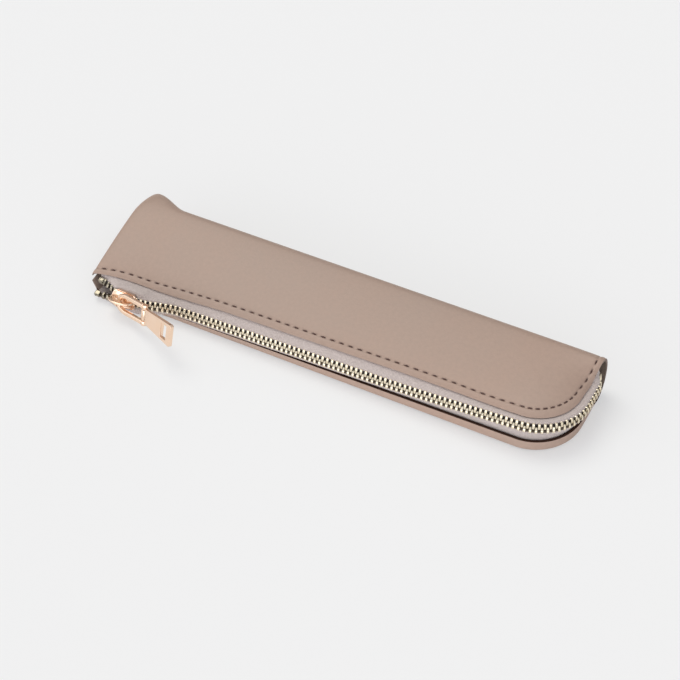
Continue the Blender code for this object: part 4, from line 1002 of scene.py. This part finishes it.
# Each tape gets a colour of painted shade along its toothed edge, darkest on the upper tape.
for name, line_at, facing, painted_edge_shade in (("upper", upper_tape_line, 1, "#1F150E"),
                                    ("lower", lower_tape_line, -1, "#463A2A")):
    tape_weave, shader = woven(f"mauve-grey woven {name} zip tape", MAUVE_SHADE, MAUVE, TAPE_THREAD,
                               0.85, 0.00004, painted_edge_shade)
    shader.inputs["Sheen Weight"].default_value = 0.25
    shader.inputs["Sheen Roughness"].default_value = 0.5
    tape = make_tape(f"{name}_zip_tape", line_at, facing)
    bpy.ops.object.shade_smooth_by_angle(angle=math.radians(50))
    dress(tape, tape_weave, f"{name}_tape")


# Teeth. Each is a small stamped piece of pale gold brass, 2.1 mm from the next: two legs are
# squeezed round the tape's cord, and a thinner head reaches past the middle between its
# neighbours on the other tape.
TOOTH_PITCH = 0.00209
TOOTH_FOOT = 0.00092
TOOTH_OUTER = 0.00190
TOOTH_SHOULDER = 0.00055
TOOTH_TIP = -0.00045
TOOTH_STEP = 0.00018
TOOTH_HEAD = 0.00055
CHAIN_THICKNESS = 0.0021
STOP_LENGTH = 0.0024
PALE_GOLD = "#F1E3CB"
MOUTH_DARKER_SPAN = (-0.097, -0.070)


def select_faces(test):
    """Selects, in edit mode, the faces whose centre and normal pass a test, and no others."""
    builder = bmesh.from_edit_mesh(bpy.context.object.data)
    builder.select_mode = {"FACE"}
    for face in builder.faces:
        face.select_set(False)
    for face in builder.faces:
        if test(face.calc_center_median(), face.normal):
            face.select_set(True)
    builder.select_flush_mode()
    bmesh.update_edit_mesh(bpy.context.object.data)


def pull_out(step, scale=(1, 1, 1)):
    """Extrudes the selected faces by a step and scales what was pulled out."""
    bpy.ops.mesh.extrude_region_move(TRANSFORM_OT_translate={"value": step})
    bpy.ops.transform.resize(value=scale)


def new_block(name, low, high):
    """A block between two corners, its place in its mesh."""
    bpy.ops.object.select_all(action="DESELECT")
    bpy.ops.mesh.primitive_cube_add(size=1, location=(Vector(low) + Vector(high)) / 2)
    block = bpy.context.object
    block.name = name
    block.scale = Vector(high) - Vector(low)
    bpy.ops.object.transform_apply(location=True, rotation=True, scale=True)
    return block


tooth = new_block("tooth", (-TOOTH_FOOT / 2, TOOTH_SHOULDER, -CHAIN_THICKNESS / 2),
                  (TOOTH_FOOT / 2, TOOTH_OUTER, CHAIN_THICKNESS / 2))
bpy.ops.object.mode_set(mode="EDIT")
select_faces(lambda centre, normal: normal.y < -0.9)
pull_out((0, -TOOTH_STEP, 0), (0.92, 1, 0.90))
pull_out((0, -TOOTH_HEAD, 0), (0.96, 1, 0.96))
pull_out((0, TOOTH_TIP + TOOTH_STEP, 0), (0.72, 1, 0.76))
select_faces(lambda centre, normal: normal.y > 0.9)
bpy.ops.mesh.inset(thickness=0.00020)
bpy.ops.transform.translate(value=(0, 0.00012, 0))
select_faces(lambda centre, normal: abs(normal.z) > 0.9 and centre.y > TOOTH_SHOULDER + 0.0002)
bpy.ops.mesh.inset(thickness=0.00020, use_individual=True)
bpy.ops.transform.resize(value=(1, 1, 1.10))
bpy.ops.object.mode_set(mode="OBJECT")


def copies_of(base, name, frames):
    """One mesh that holds a copy of a base piece on each frame."""
    points = np.array([v.co for v in base.data.vertices])
    shapes = [tuple(p.vertices) for p in base.data.polygons]
    vertices, faces = [], []
    for k, matrix in enumerate(frames):
        vertices += (points @ matrix[:3, :3].T + matrix[:3, 3]).tolist()
        faces += [tuple(i + k * len(points) for i in shape) for shape in shapes]
    whole = bpy.data.meshes.new(name)
    whole.from_pydata(vertices, [], faces)
    made = bpy.data.objects.new(name, whole)
    bpy.context.scene.collection.objects.link(made)
    only(made)
    face_outward()
    return made


def frame_of(x_axis, y_axis, z_axis, middle):
    frame = np.eye(4)
    frame[:3] = np.column_stack([x_axis, y_axis, z_axis, middle])
    return frame


def row_matrix(s, side):
    """Frame on a row of teeth: X along the zip, Y away from its middle, Z out of its face."""
    middle, face, away = row_frame(s, side)
    return frame_of(np.cross(away, face), away, face, middle)


gold_teeth, tree, shader = new_material("pale gold stamped brass", PALE_GOLD, 0.26, 1.0)
wear = noise(tree, 900.0, 3.0)
place = split(tree, add_node(tree, "ShaderNodeTexCoord").outputs["Object"])
# The teeth are darker towards the open left end.
darker_near_mouth = map_range(tree, place["X"], *MOUTH_DARKER_SPAN, 0.36, 1.0)
tint = mix_colours(tree, 1.0, mix_colours(tree, wear, "#E6D5B0", "#FAF1DF"), darker_near_mouth, "MULTIPLY")
tree.links.new(tint, shader.inputs["Base Color"])
tree.links.new(map_range(tree, wear, 0.3, 0.7, 0.20, 0.36), shader.inputs["Roughness"])
emboss(tree, shader, wear, 0.3, 0.00002)

first_tooth = ZIP_START + STOP_LENGTH + GAP + TOOTH_FOOT / 2
last_tooth = path_at_y(ZIP_END_Y) - STOP_LENGTH - GAP - TOOTH_FOOT
for name, side, shift in (("upper", -1, 0.0), ("lower", 1, TOOTH_PITCH / 2)):
    count = int((last_tooth - first_tooth - shift) / TOOTH_PITCH) + 1
    frames = [row_matrix(first_tooth + shift + k * TOOTH_PITCH, side) for k in range(count)]
    row = copies_of(tooth, f"{name}_row_of_teeth", frames)
    bpy.ops.object.shade_smooth_by_angle(angle=math.radians(38))
    dress(row, gold_teeth, f"{name}_teeth")
bpy.data.objects.remove(tooth)


# Stops. At the open end a small clip is folded over the cord of each tape, and at the fold one
# broader clip holds both tapes together. All three are the same pale gold brass as the teeth.
STOP_REACH = 0.0016
STOP_WIDTH = 0.0018
first_stop = ZIP_START + STOP_LENGTH / 2
last_stop = path_at_y(ZIP_END_Y) - STOP_LENGTH / 2
for name, place, side, near in (("upper_top_stop", first_stop, -1, STOP_REACH - STOP_WIDTH),
                                ("lower_top_stop", first_stop, 1, STOP_REACH - STOP_WIDTH),
                                ("bottom_stop", last_stop, 1, -STOP_REACH)):
    clip = new_block(f"{name}_clip", (-STOP_LENGTH / 2, near, -CHAIN_THICKNESS / 2),
                     (STOP_LENGTH / 2, STOP_REACH, CHAIN_THICKNESS / 2))
    bpy.ops.object.mode_set(mode="EDIT")
    select_faces(lambda centre, normal: abs(normal.z) > 0.9)
    bpy.ops.mesh.inset(thickness=0.00040, use_individual=True)
    bpy.ops.mesh.inset(thickness=0.00012, use_individual=True)
    bpy.ops.transform.resize(value=(1, 1, 0.84))
    bpy.ops.object.mode_set(mode="OBJECT")
    finish_edges(clip, 0.00030, 3, 60)
    clip.data.transform(Matrix(row_matrix(place, side).tolist()))
    dress(clip, gold_teeth, name)


# Stitching. Dark brown twisted polyester in 4 mm lockstitches: one row through the top panel
# and tape, one low on the lip, and one closing the left end. Each stitch lies over the leather
# and dives into its holes.
STITCH_WIDTH = 0.00070
STITCH_PROUD = 0.00018
STITCH_DIVE = 0.00028
LOWER_ROW_START = 0.0385
LOWER_ROW_END_Y = -0.0020
LIP_STITCH_DEPTH = 0.00080
LIP_STITCH_HEIGHT = 0.00085
LIP_STITCH_TILT = math.radians(42)
THREAD_BROWN = "#45281D"

bpy.ops.object.select_all(action="DESELECT")
bpy.ops.mesh.primitive_uv_sphere_add(segments=8, ring_count=7, radius=1)
stitch = bpy.context.object
stitch.data.transform(Matrix.Rotation(math.pi / 2, 4, "Y"))
stitch.data.transform(Matrix.Diagonal((STITCH_LENGTH / 2 + 0.0001, STITCH_WIDTH / 2,
                                       STITCH_WIDTH * 0.42, 1)))
for vertex in stitch.data.vertices:
    vertex.co.z += STITCH_PROUD - STITCH_DIVE * (vertex.co.x / (STITCH_LENGTH / 2)) ** 2


def surface_matrix(surface_at, s):
    """Frame on the leather: X along the seam, Z out of the leather."""
    middle, out = surface_at(s)
    along = surface_at(s + 0.0003)[0] - surface_at(s - 0.0003)[0]
    along /= np.linalg.norm(along)
    normal = out - along * np.dot(out, along)
    normal /= np.linalg.norm(normal)
    return frame_of(along, np.cross(normal, along), normal, middle)


def on_top_panel(s):
    margin = on_edge(s, 2)
    along = panel_point(s + 0.0003, margin) - panel_point(s - 0.0003, margin)
    inwards = panel_point(s, margin + 0.0008) - panel_point(s, margin - 0.0008)
    return panel_point(s, margin), np.cross(along, inwards)


def on_lip(s):
    point, inward = path_point(s)
    x, y = point + inward * (lip_inset(s) + LIP_STITCH_DEPTH)
    outward = np.append(-inward * math.cos(LIP_STITCH_TILT), -math.sin(LIP_STITCH_TILT))
    return np.array([x, y, LIP_STITCH_HEIGHT]), outward


def on_left_end(y):
    return np.array([LEFT_END_X + 0.0004, y, end_seam_height(y)]), np.array([-1.0, 0.0, 0.0])


twisted, tree, shader = new_material("dark brown twisted polyester thread", THREAD_BROWN, 0.6)
place = add_node(tree, "ShaderNodeTexCoord").outputs["Object"]
strands = add_node(tree, "ShaderNodeTexWave", {"Scale": 520.0, "Distortion": 1.5, "Detail": 1.0},
                   {"Vector": place}, bands_direction="DIAGONAL").outputs["Fac"]
tree.links.new(mix_colours(tree, strands, "#311B15", "#563427"), shader.inputs["Base Color"])
emboss(tree, shader, strands, 0.6, 0.00005)
shader.inputs["Sheen Weight"].default_value = 0.2

for name, surface_at, first, last in (
        ("upper", on_top_panel, UPPER_ROW_START, path_at_y(UPPER_ROW_END_Y) + STITCH_PITCH),
        ("lower", on_lip, LOWER_ROW_START, path_at_y(LOWER_ROW_END_Y)),
        ("end", on_left_end, FRONT_CHAIN_Y + STITCH_PITCH, FOLD_START_Y + FOLD_REACH)):
    frames = [surface_matrix(surface_at, first + k * STITCH_PITCH + STITCH_LENGTH / 2)
              for k in range(int((last - first) / STITCH_PITCH))]
    seam = copies_of(stitch, f"{name}_seam_stitches", frames)
    bpy.ops.object.shade_smooth()
    dress(seam, twisted, f"{name}_seam_thread")
bpy.data.objects.remove(stitch)


# Slider. A polished rose gold die casting: two shield-shaped wings with a flange down each
# side, joined at the nose by a wedge that parts the teeth. It is built flat, X along the zip
# to the right, Y up across it and Z out of its face, and then set on the zip.
SLIDER_END_SETBACK = 0.0058
SLIDE_END_DROP = 0.0006
NOSE_HALF_WIDTH = 0.0038
REAR_HALF_WIDTH = 0.0031
WING_THICKNESS = 0.0009
CHANNEL_HALF = CHAIN_THICKNESS / 2 + GAP
WING_FACE = CHANNEL_HALF + WING_THICKNESS
FLANGE_DEPTH = 0.0006
FLANGE_WIDTH = 0.0006
ROSE_GOLD = "#F5D7BC"

rest, rest_face, _ = chain_frame(SLIDER_START)
travel_end, _, _ = chain_frame(STRAIGHT_RUN - SLIDER_END_SETBACK)
travel_end[2] -= SLIDE_END_DROP
forward = (travel_end - rest) / np.linalg.norm(travel_end - rest)
slider_out = rest_face - forward * np.dot(rest_face, forward)
slider_out /= np.linalg.norm(slider_out)
slider_frame = Matrix(frame_of(forward, np.cross(slider_out, forward), slider_out, rest).tolist())
half = SLIDER_LENGTH / 2


def wing_outline(count):
    """Plan outline of a wing: broad round nose to the left, narrower rear to the right."""
    points = []
    for k in range(count):
        angle = math.pi / 2 + math.pi * k / (count - 1)
        points.append((half * (0.55 * math.cos(angle) - 0.45), NOSE_HALF_WIDTH * math.sin(angle)))
    points += [(half * 0.20, -blend(NOSE_HALF_WIDTH, REAR_HALF_WIDTH, 0.62)),
               (half * 0.85, -REAR_HALF_WIDTH), (half * 0.96, -REAR_HALF_WIDTH * 0.90),
               (half, -REAR_HALF_WIDTH * 0.72)]
    return points + [(x, -y) for x, y in reversed(points[count:])]


def make_wing(name, side):
    """One wing and its two flanges, extruded from its outline; side is 1 in front, -1 behind."""
    outline = wing_outline(17)
    bpy.ops.object.select_all(action="DESELECT")
    bpy.ops.mesh.primitive_circle_add(vertices=len(outline), radius=1, fill_type="NGON")
    wing = bpy.context.object
    wing.name = name
    for vertex, (x, y) in zip(wing.data.vertices, outline):
        vertex.co = (x, y, WING_FACE)
    bpy.ops.object.mode_set(mode="EDIT")
    bpy.ops.mesh.select_all(action="SELECT")
    pull_out((0, 0, -WING_THICKNESS))
    bpy.ops.mesh.normals_make_consistent(inside=False)
    select_faces(lambda centre, normal: normal.z < -0.9)
    bpy.ops.mesh.inset(thickness=FLANGE_WIDTH)
    select_faces(lambda centre, normal: normal.z < -0.9 and -half * 0.5 < centre.x < half * 0.86
                 and abs(centre.y) > REAR_HALF_WIDTH - FLANGE_WIDTH)
    pull_out((0, 0, -FLANGE_DEPTH))
    bpy.ops.object.mode_set(mode="OBJECT")
    wing.data.transform(Matrix.Diagonal((1, 1, side, 1)))
    face_outward()
    finish_edges(wing, 0.00022, 3, 50)
    return wing


def join_pieces(name, pieces):
    bpy.ops.object.select_all(action="DESELECT")
    for piece in pieces:
        piece.select_set(True)
    bpy.context.view_layer.objects.active = pieces[0]
    bpy.ops.object.join()
    pieces[0].name = name
    return pieces[0]


rose_gold, tree, shader = new_material("polished rose gold plated casting", ROSE_GOLD, 0.17, 1.0)
tumble = noise(tree, 240.0, 3.0)
tree.links.new(map_range(tree, tumble, 0.3, 0.7, 0.13, 0.24), shader.inputs["Roughness"])
tree.links.new(mix_colours(tree, tumble, "#F2D1B4", "#F9DEC7"), shader.inputs["Base Color"])
emboss(tree, shader, tumble, 0.12, 0.0001)

wedge = new_block("wedge", (-half + 0.0003, -0.0005, -CHANNEL_HALF - 0.0003),
                  (-half + 0.0016, 0.0005, CHANNEL_HALF + 0.0003))
for vertex in wedge.data.vertices:
    if vertex.co.x > -half + 0.001:
        vertex.co.y *= 0.25
finish_edges(wedge, 0.00012, 2, 50)
slider = join_pieces("zip_slider", [make_wing("front_wing", 1), make_wing("back_wing", -1), wedge])
slider.data.transform(slider_frame)
dress(slider, rose_gold, "slider_body", "slider")


# Crown. An arched bridge cast over the front wing, from the nose to behind the middle; the
# pull's link is caught under it.
CROWN_HALF_WIDTH = 0.0014
CROWN_THICKNESS = 0.0009
LINK_ROD_RADIUS = 0.00090


def swept(name, path, profile):
    """A mesh swept along a path, with a closed flat outline as its section."""
    curves = []
    for points, flat in ((profile, "2D"), (path, "3D")):
        curve = bpy.data.curves.new(name, "CURVE")
        curve.dimensions = flat
        line = curve.splines.new("POLY")
        line.points.add(len(points) - 1)
        for point, place in zip(line.points, points):
            point.co = (*place, 1)
        line.use_cyclic_u = flat == "2D"
        piece = bpy.data.objects.new(name, curve)
        bpy.context.scene.collection.objects.link(piece)
        curves.append(piece)
    section, route = curves
    route.data.twist_mode = "Z_UP"
    route.data.bevel_mode = "OBJECT"
    route.data.bevel_object = section
    route.data.use_fill_caps = True
    only(route)
    bpy.ops.object.convert(target="MESH")
    bpy.data.objects.remove(section)
    bpy.ops.object.mode_set(mode="EDIT")
    bpy.ops.mesh.select_all(action="SELECT")
    bpy.ops.mesh.remove_doubles(threshold=0.000002)
    bpy.ops.object.mode_set(mode="OBJECT")
    face_outward()
    made = bpy.context.object
    made.name = name
    return made


def rounded_box(half_width, half_height, corner, steps=4):
    """Outline of a rectangle with round corners."""
    points = []
    for k, (sx, sy) in enumerate(((1, 1), (-1, 1), (-1, -1), (1, -1))):
        for step in range(steps + 1):
            angle = math.pi / 2 * (k + step / steps)
            points.append((sx * (half_width - corner) + corner * math.cos(angle),
                           sy * (half_height - corner) + corner * math.sin(angle), 0))
    return points


rise = 2 * LINK_ROD_RADIUS + 0.0014
nose = 0.0002 - half
half_thick = CROWN_THICKNESS / 2
crown_top = WING_FACE + rise + half_thick * 1.4
crown_line, _ = rounded_line([
    (nose + 0.0006, WING_FACE - 0.0002), (nose + 0.0007, WING_FACE + rise * 0.45),
    (nose + 0.0019, WING_FACE + rise * 0.90), (nose + 0.0042, crown_top),
    (nose + 0.0066, crown_top), (0.0032, WING_FACE + rise * 0.92),
    (0.0040, WING_FACE + rise * 0.5), (0.0043, WING_FACE + GAP)], 40)
crown = swept("slider_bridge", [(x, 0, z) for x, z in crown_line],
              rounded_box(half_thick, CROWN_HALF_WIDTH, 0.0003))
crown.data.transform(slider_frame)
finish_edges(crown, 0.00008, 1, 60)
dress(crown, rose_gold, "slider_crown", "slider")


# Pull link. A stirrup of 1.8 mm rod: its short bar turns under the crown, and its two arms end
# in eyes that hold the cross pin.
LINK_PIVOT_FORWARD = -0.0001
LINK_PIVOT_OUT = WING_FACE + GAP + LINK_ROD_RADIUS + 0.0009
LINK_LENGTH = 0.0156
LINK_HALF_WIDTH = 0.00340
LINK_BIGHT = 0.0023
LINK_SWING = math.radians(19)
EYE_RADIUS = 0.0012
PIN_RADIUS = 0.0004
BORE_RADIUS = PIN_RADIUS + 0.00025


def across_pull(name, radius, width, sides, place=(0, 0, 0), bore=0.0):
    """A round bar across the pull, or with a bore a tube."""
    bpy.ops.object.select_all(action="DESELECT")
    bpy.ops.mesh.primitive_cylinder_add(
        vertices=sides, radius=radius, depth=width, rotation=(math.pi / 2, 0, 0), location=place,
        end_fill_type="NOTHING" if bore else "NGON")
    made = bpy.context.object
    made.name = name
    bpy.ops.object.transform_apply(location=True, rotation=True, scale=True)
    if bore:
        thicken(made, radius - bore)
    return made


link_frame = (slider_frame @ Matrix.Translation((LINK_PIVOT_FORWARD, 0, LINK_PIVOT_OUT))
              @ Matrix.Rotation(-LINK_SWING, 4, "Y"))
arm_end = LINK_LENGTH - (EYE_RADIUS + BORE_RADIUS) / 2
half_line = [(arm_end, LINK_HALF_WIDTH), (0.0090, LINK_HALF_WIDTH), (0.0040, LINK_HALF_WIDTH),
             (0.0022, LINK_HALF_WIDTH - 0.0003), (0.0006, LINK_BIGHT + 0.0002),
             (0.0, LINK_BIGHT - 0.0007)]
link_line, _ = rounded_line(half_line + [(x, -y) for x, y in reversed(half_line)], 90)
rod = LINK_ROD_RADIUS
link = swept("link_rod", [(x, y, 0) for x, y in link_line], rounded_box(rod, rod, 0.0004))
eyes = [across_pull("link_eye", EYE_RADIUS, 2 * rod, 28, (LINK_LENGTH, side * LINK_HALF_WIDTH, 0),
                    BORE_RADIUS) for side in (-1, 1)]
link = join_pieces("pull_link_stirrup", [link] + eyes)
link.data.transform(link_frame)
finish_edges(link, 0.00012, 2, 60)
dress(link, rose_gold, "pull_link", "link")


# Cross pin. A thin plated rod, riveted over at both ends, that the tab turns on.
pin = across_pull("pull_cross_pin", PIN_RADIUS, 2 * (LINK_HALF_WIDTH + rod - 0.0001), 20,
                  (LINK_LENGTH, 0, 0))
finish_edges(pin, 0.00012, 2, 60)
pin.data.transform(link_frame)
dress(pin, rose_gold, "link_pin", "link")


# Tab. A flat cast plate, flared to 9 mm at its free end, with a rectangular window across it
# there and a barrel round the pin at its neck. Its face is polished and its edges are eased.
TAB_SWING = math.radians(30)
TAB_LENGTH = 0.0216
TAB_THICKNESS = 0.0015
TAB_HEEL = 0.0018
TAB_NECK = 0.0017
TAB_SHOULDER = 0.0031
TAB_END = 0.0046
TAB_CORNER = 0.0008
WINDOW_NEAR = 0.0143
WINDOW_FAR = 0.0185
WINDOW_HALF_WIDTH = 0.0030
BARREL_RADIUS = 0.0011

tab_frame = (link_frame @ Matrix.Translation((LINK_LENGTH, 0, 0))
             @ Matrix.Rotation(LINK_SWING - TAB_SWING, 4, "Y"))
tab = new_block("tab_plate", (TAB_NECK - 0.0004, -1, -TAB_THICKNESS / 2),
                (TAB_LENGTH, 1, TAB_THICKNESS / 2))
bpy.ops.object.mode_set(mode="EDIT")
for spot, normal in (((WINDOW_NEAR, 0, 0), (1, 0, 0)), ((WINDOW_FAR, 0, 0), (1, 0, 0)),
                     ((0, 0.5, 0), (0, 1, 0)), ((0, -0.5, 0), (0, 1, 0))):
    bpy.ops.mesh.select_all(action="SELECT")
    bpy.ops.mesh.bisect(plane_co=spot, plane_no=normal)
select_faces(lambda centre, normal: abs(normal.z) > 0.9 and abs(centre.y) < 0.5
             and WINDOW_NEAR < centre.x < WINDOW_FAR)
bpy.ops.mesh.bridge_edge_loops()
bpy.ops.object.mode_set(mode="OBJECT")
for vertex in tab.data.vertices:
    share = (vertex.co.x - TAB_NECK) / (TAB_LENGTH - TAB_NECK)
    reach = blend(TAB_SHOULDER, TAB_END, share) if abs(vertex.co.y) > 0.75 else WINDOW_HALF_WIDTH
    vertex.co.y = math.copysign(reach, vertex.co.y)
corners = tab.modifiers.new("corners", "BEVEL")
corners.width = TAB_CORNER
corners.segments = 4
corners.limit_method = "WEIGHT"
weights = tab.data.attributes.new("bevel_weight_edge", "FLOAT", "EDGE")
for edge in tab.data.edges:
    a, b = (tab.data.vertices[k].co for k in edge.vertices)
    upright = abs(a.x - b.x) < 1e-6 and abs(a.y - b.y) < 1e-6
    at_end = a.x > TAB_LENGTH - 1e-5 and abs(a.y) > 0.004
    weights.data[edge.index].value = 1.0 if upright and at_end else 0.0
bpy.ops.object.modifier_apply(modifier="corners")
finish_edges(tab, 0.00026, 3, 50)

neck_half = LINK_HALF_WIDTH - rod - GAP
barrel = across_pull("tab_barrel", BARREL_RADIUS, 2 * neck_half, 28, bore=BORE_RADIUS)
finish_edges(barrel, 0.00012, 2, 60)
tab_parts = [tab, barrel]
for start, end in ((-TAB_HEEL, -BARREL_RADIUS * 0.75), (BARREL_RADIUS * 0.75, TAB_NECK + 0.0002)):
    neck = new_block("tab_neck", (start, -neck_half, -TAB_THICKNESS / 2),
                     (end, neck_half, TAB_THICKNESS / 2))
    finish_edges(neck, 0.00020, 3, 60)
    tab_parts.append(neck)
tab = join_pieces("pull_tab_plate", tab_parts)
tab.data.transform(tab_frame)
dress(tab, rose_gold, "pull_tab", "tab")
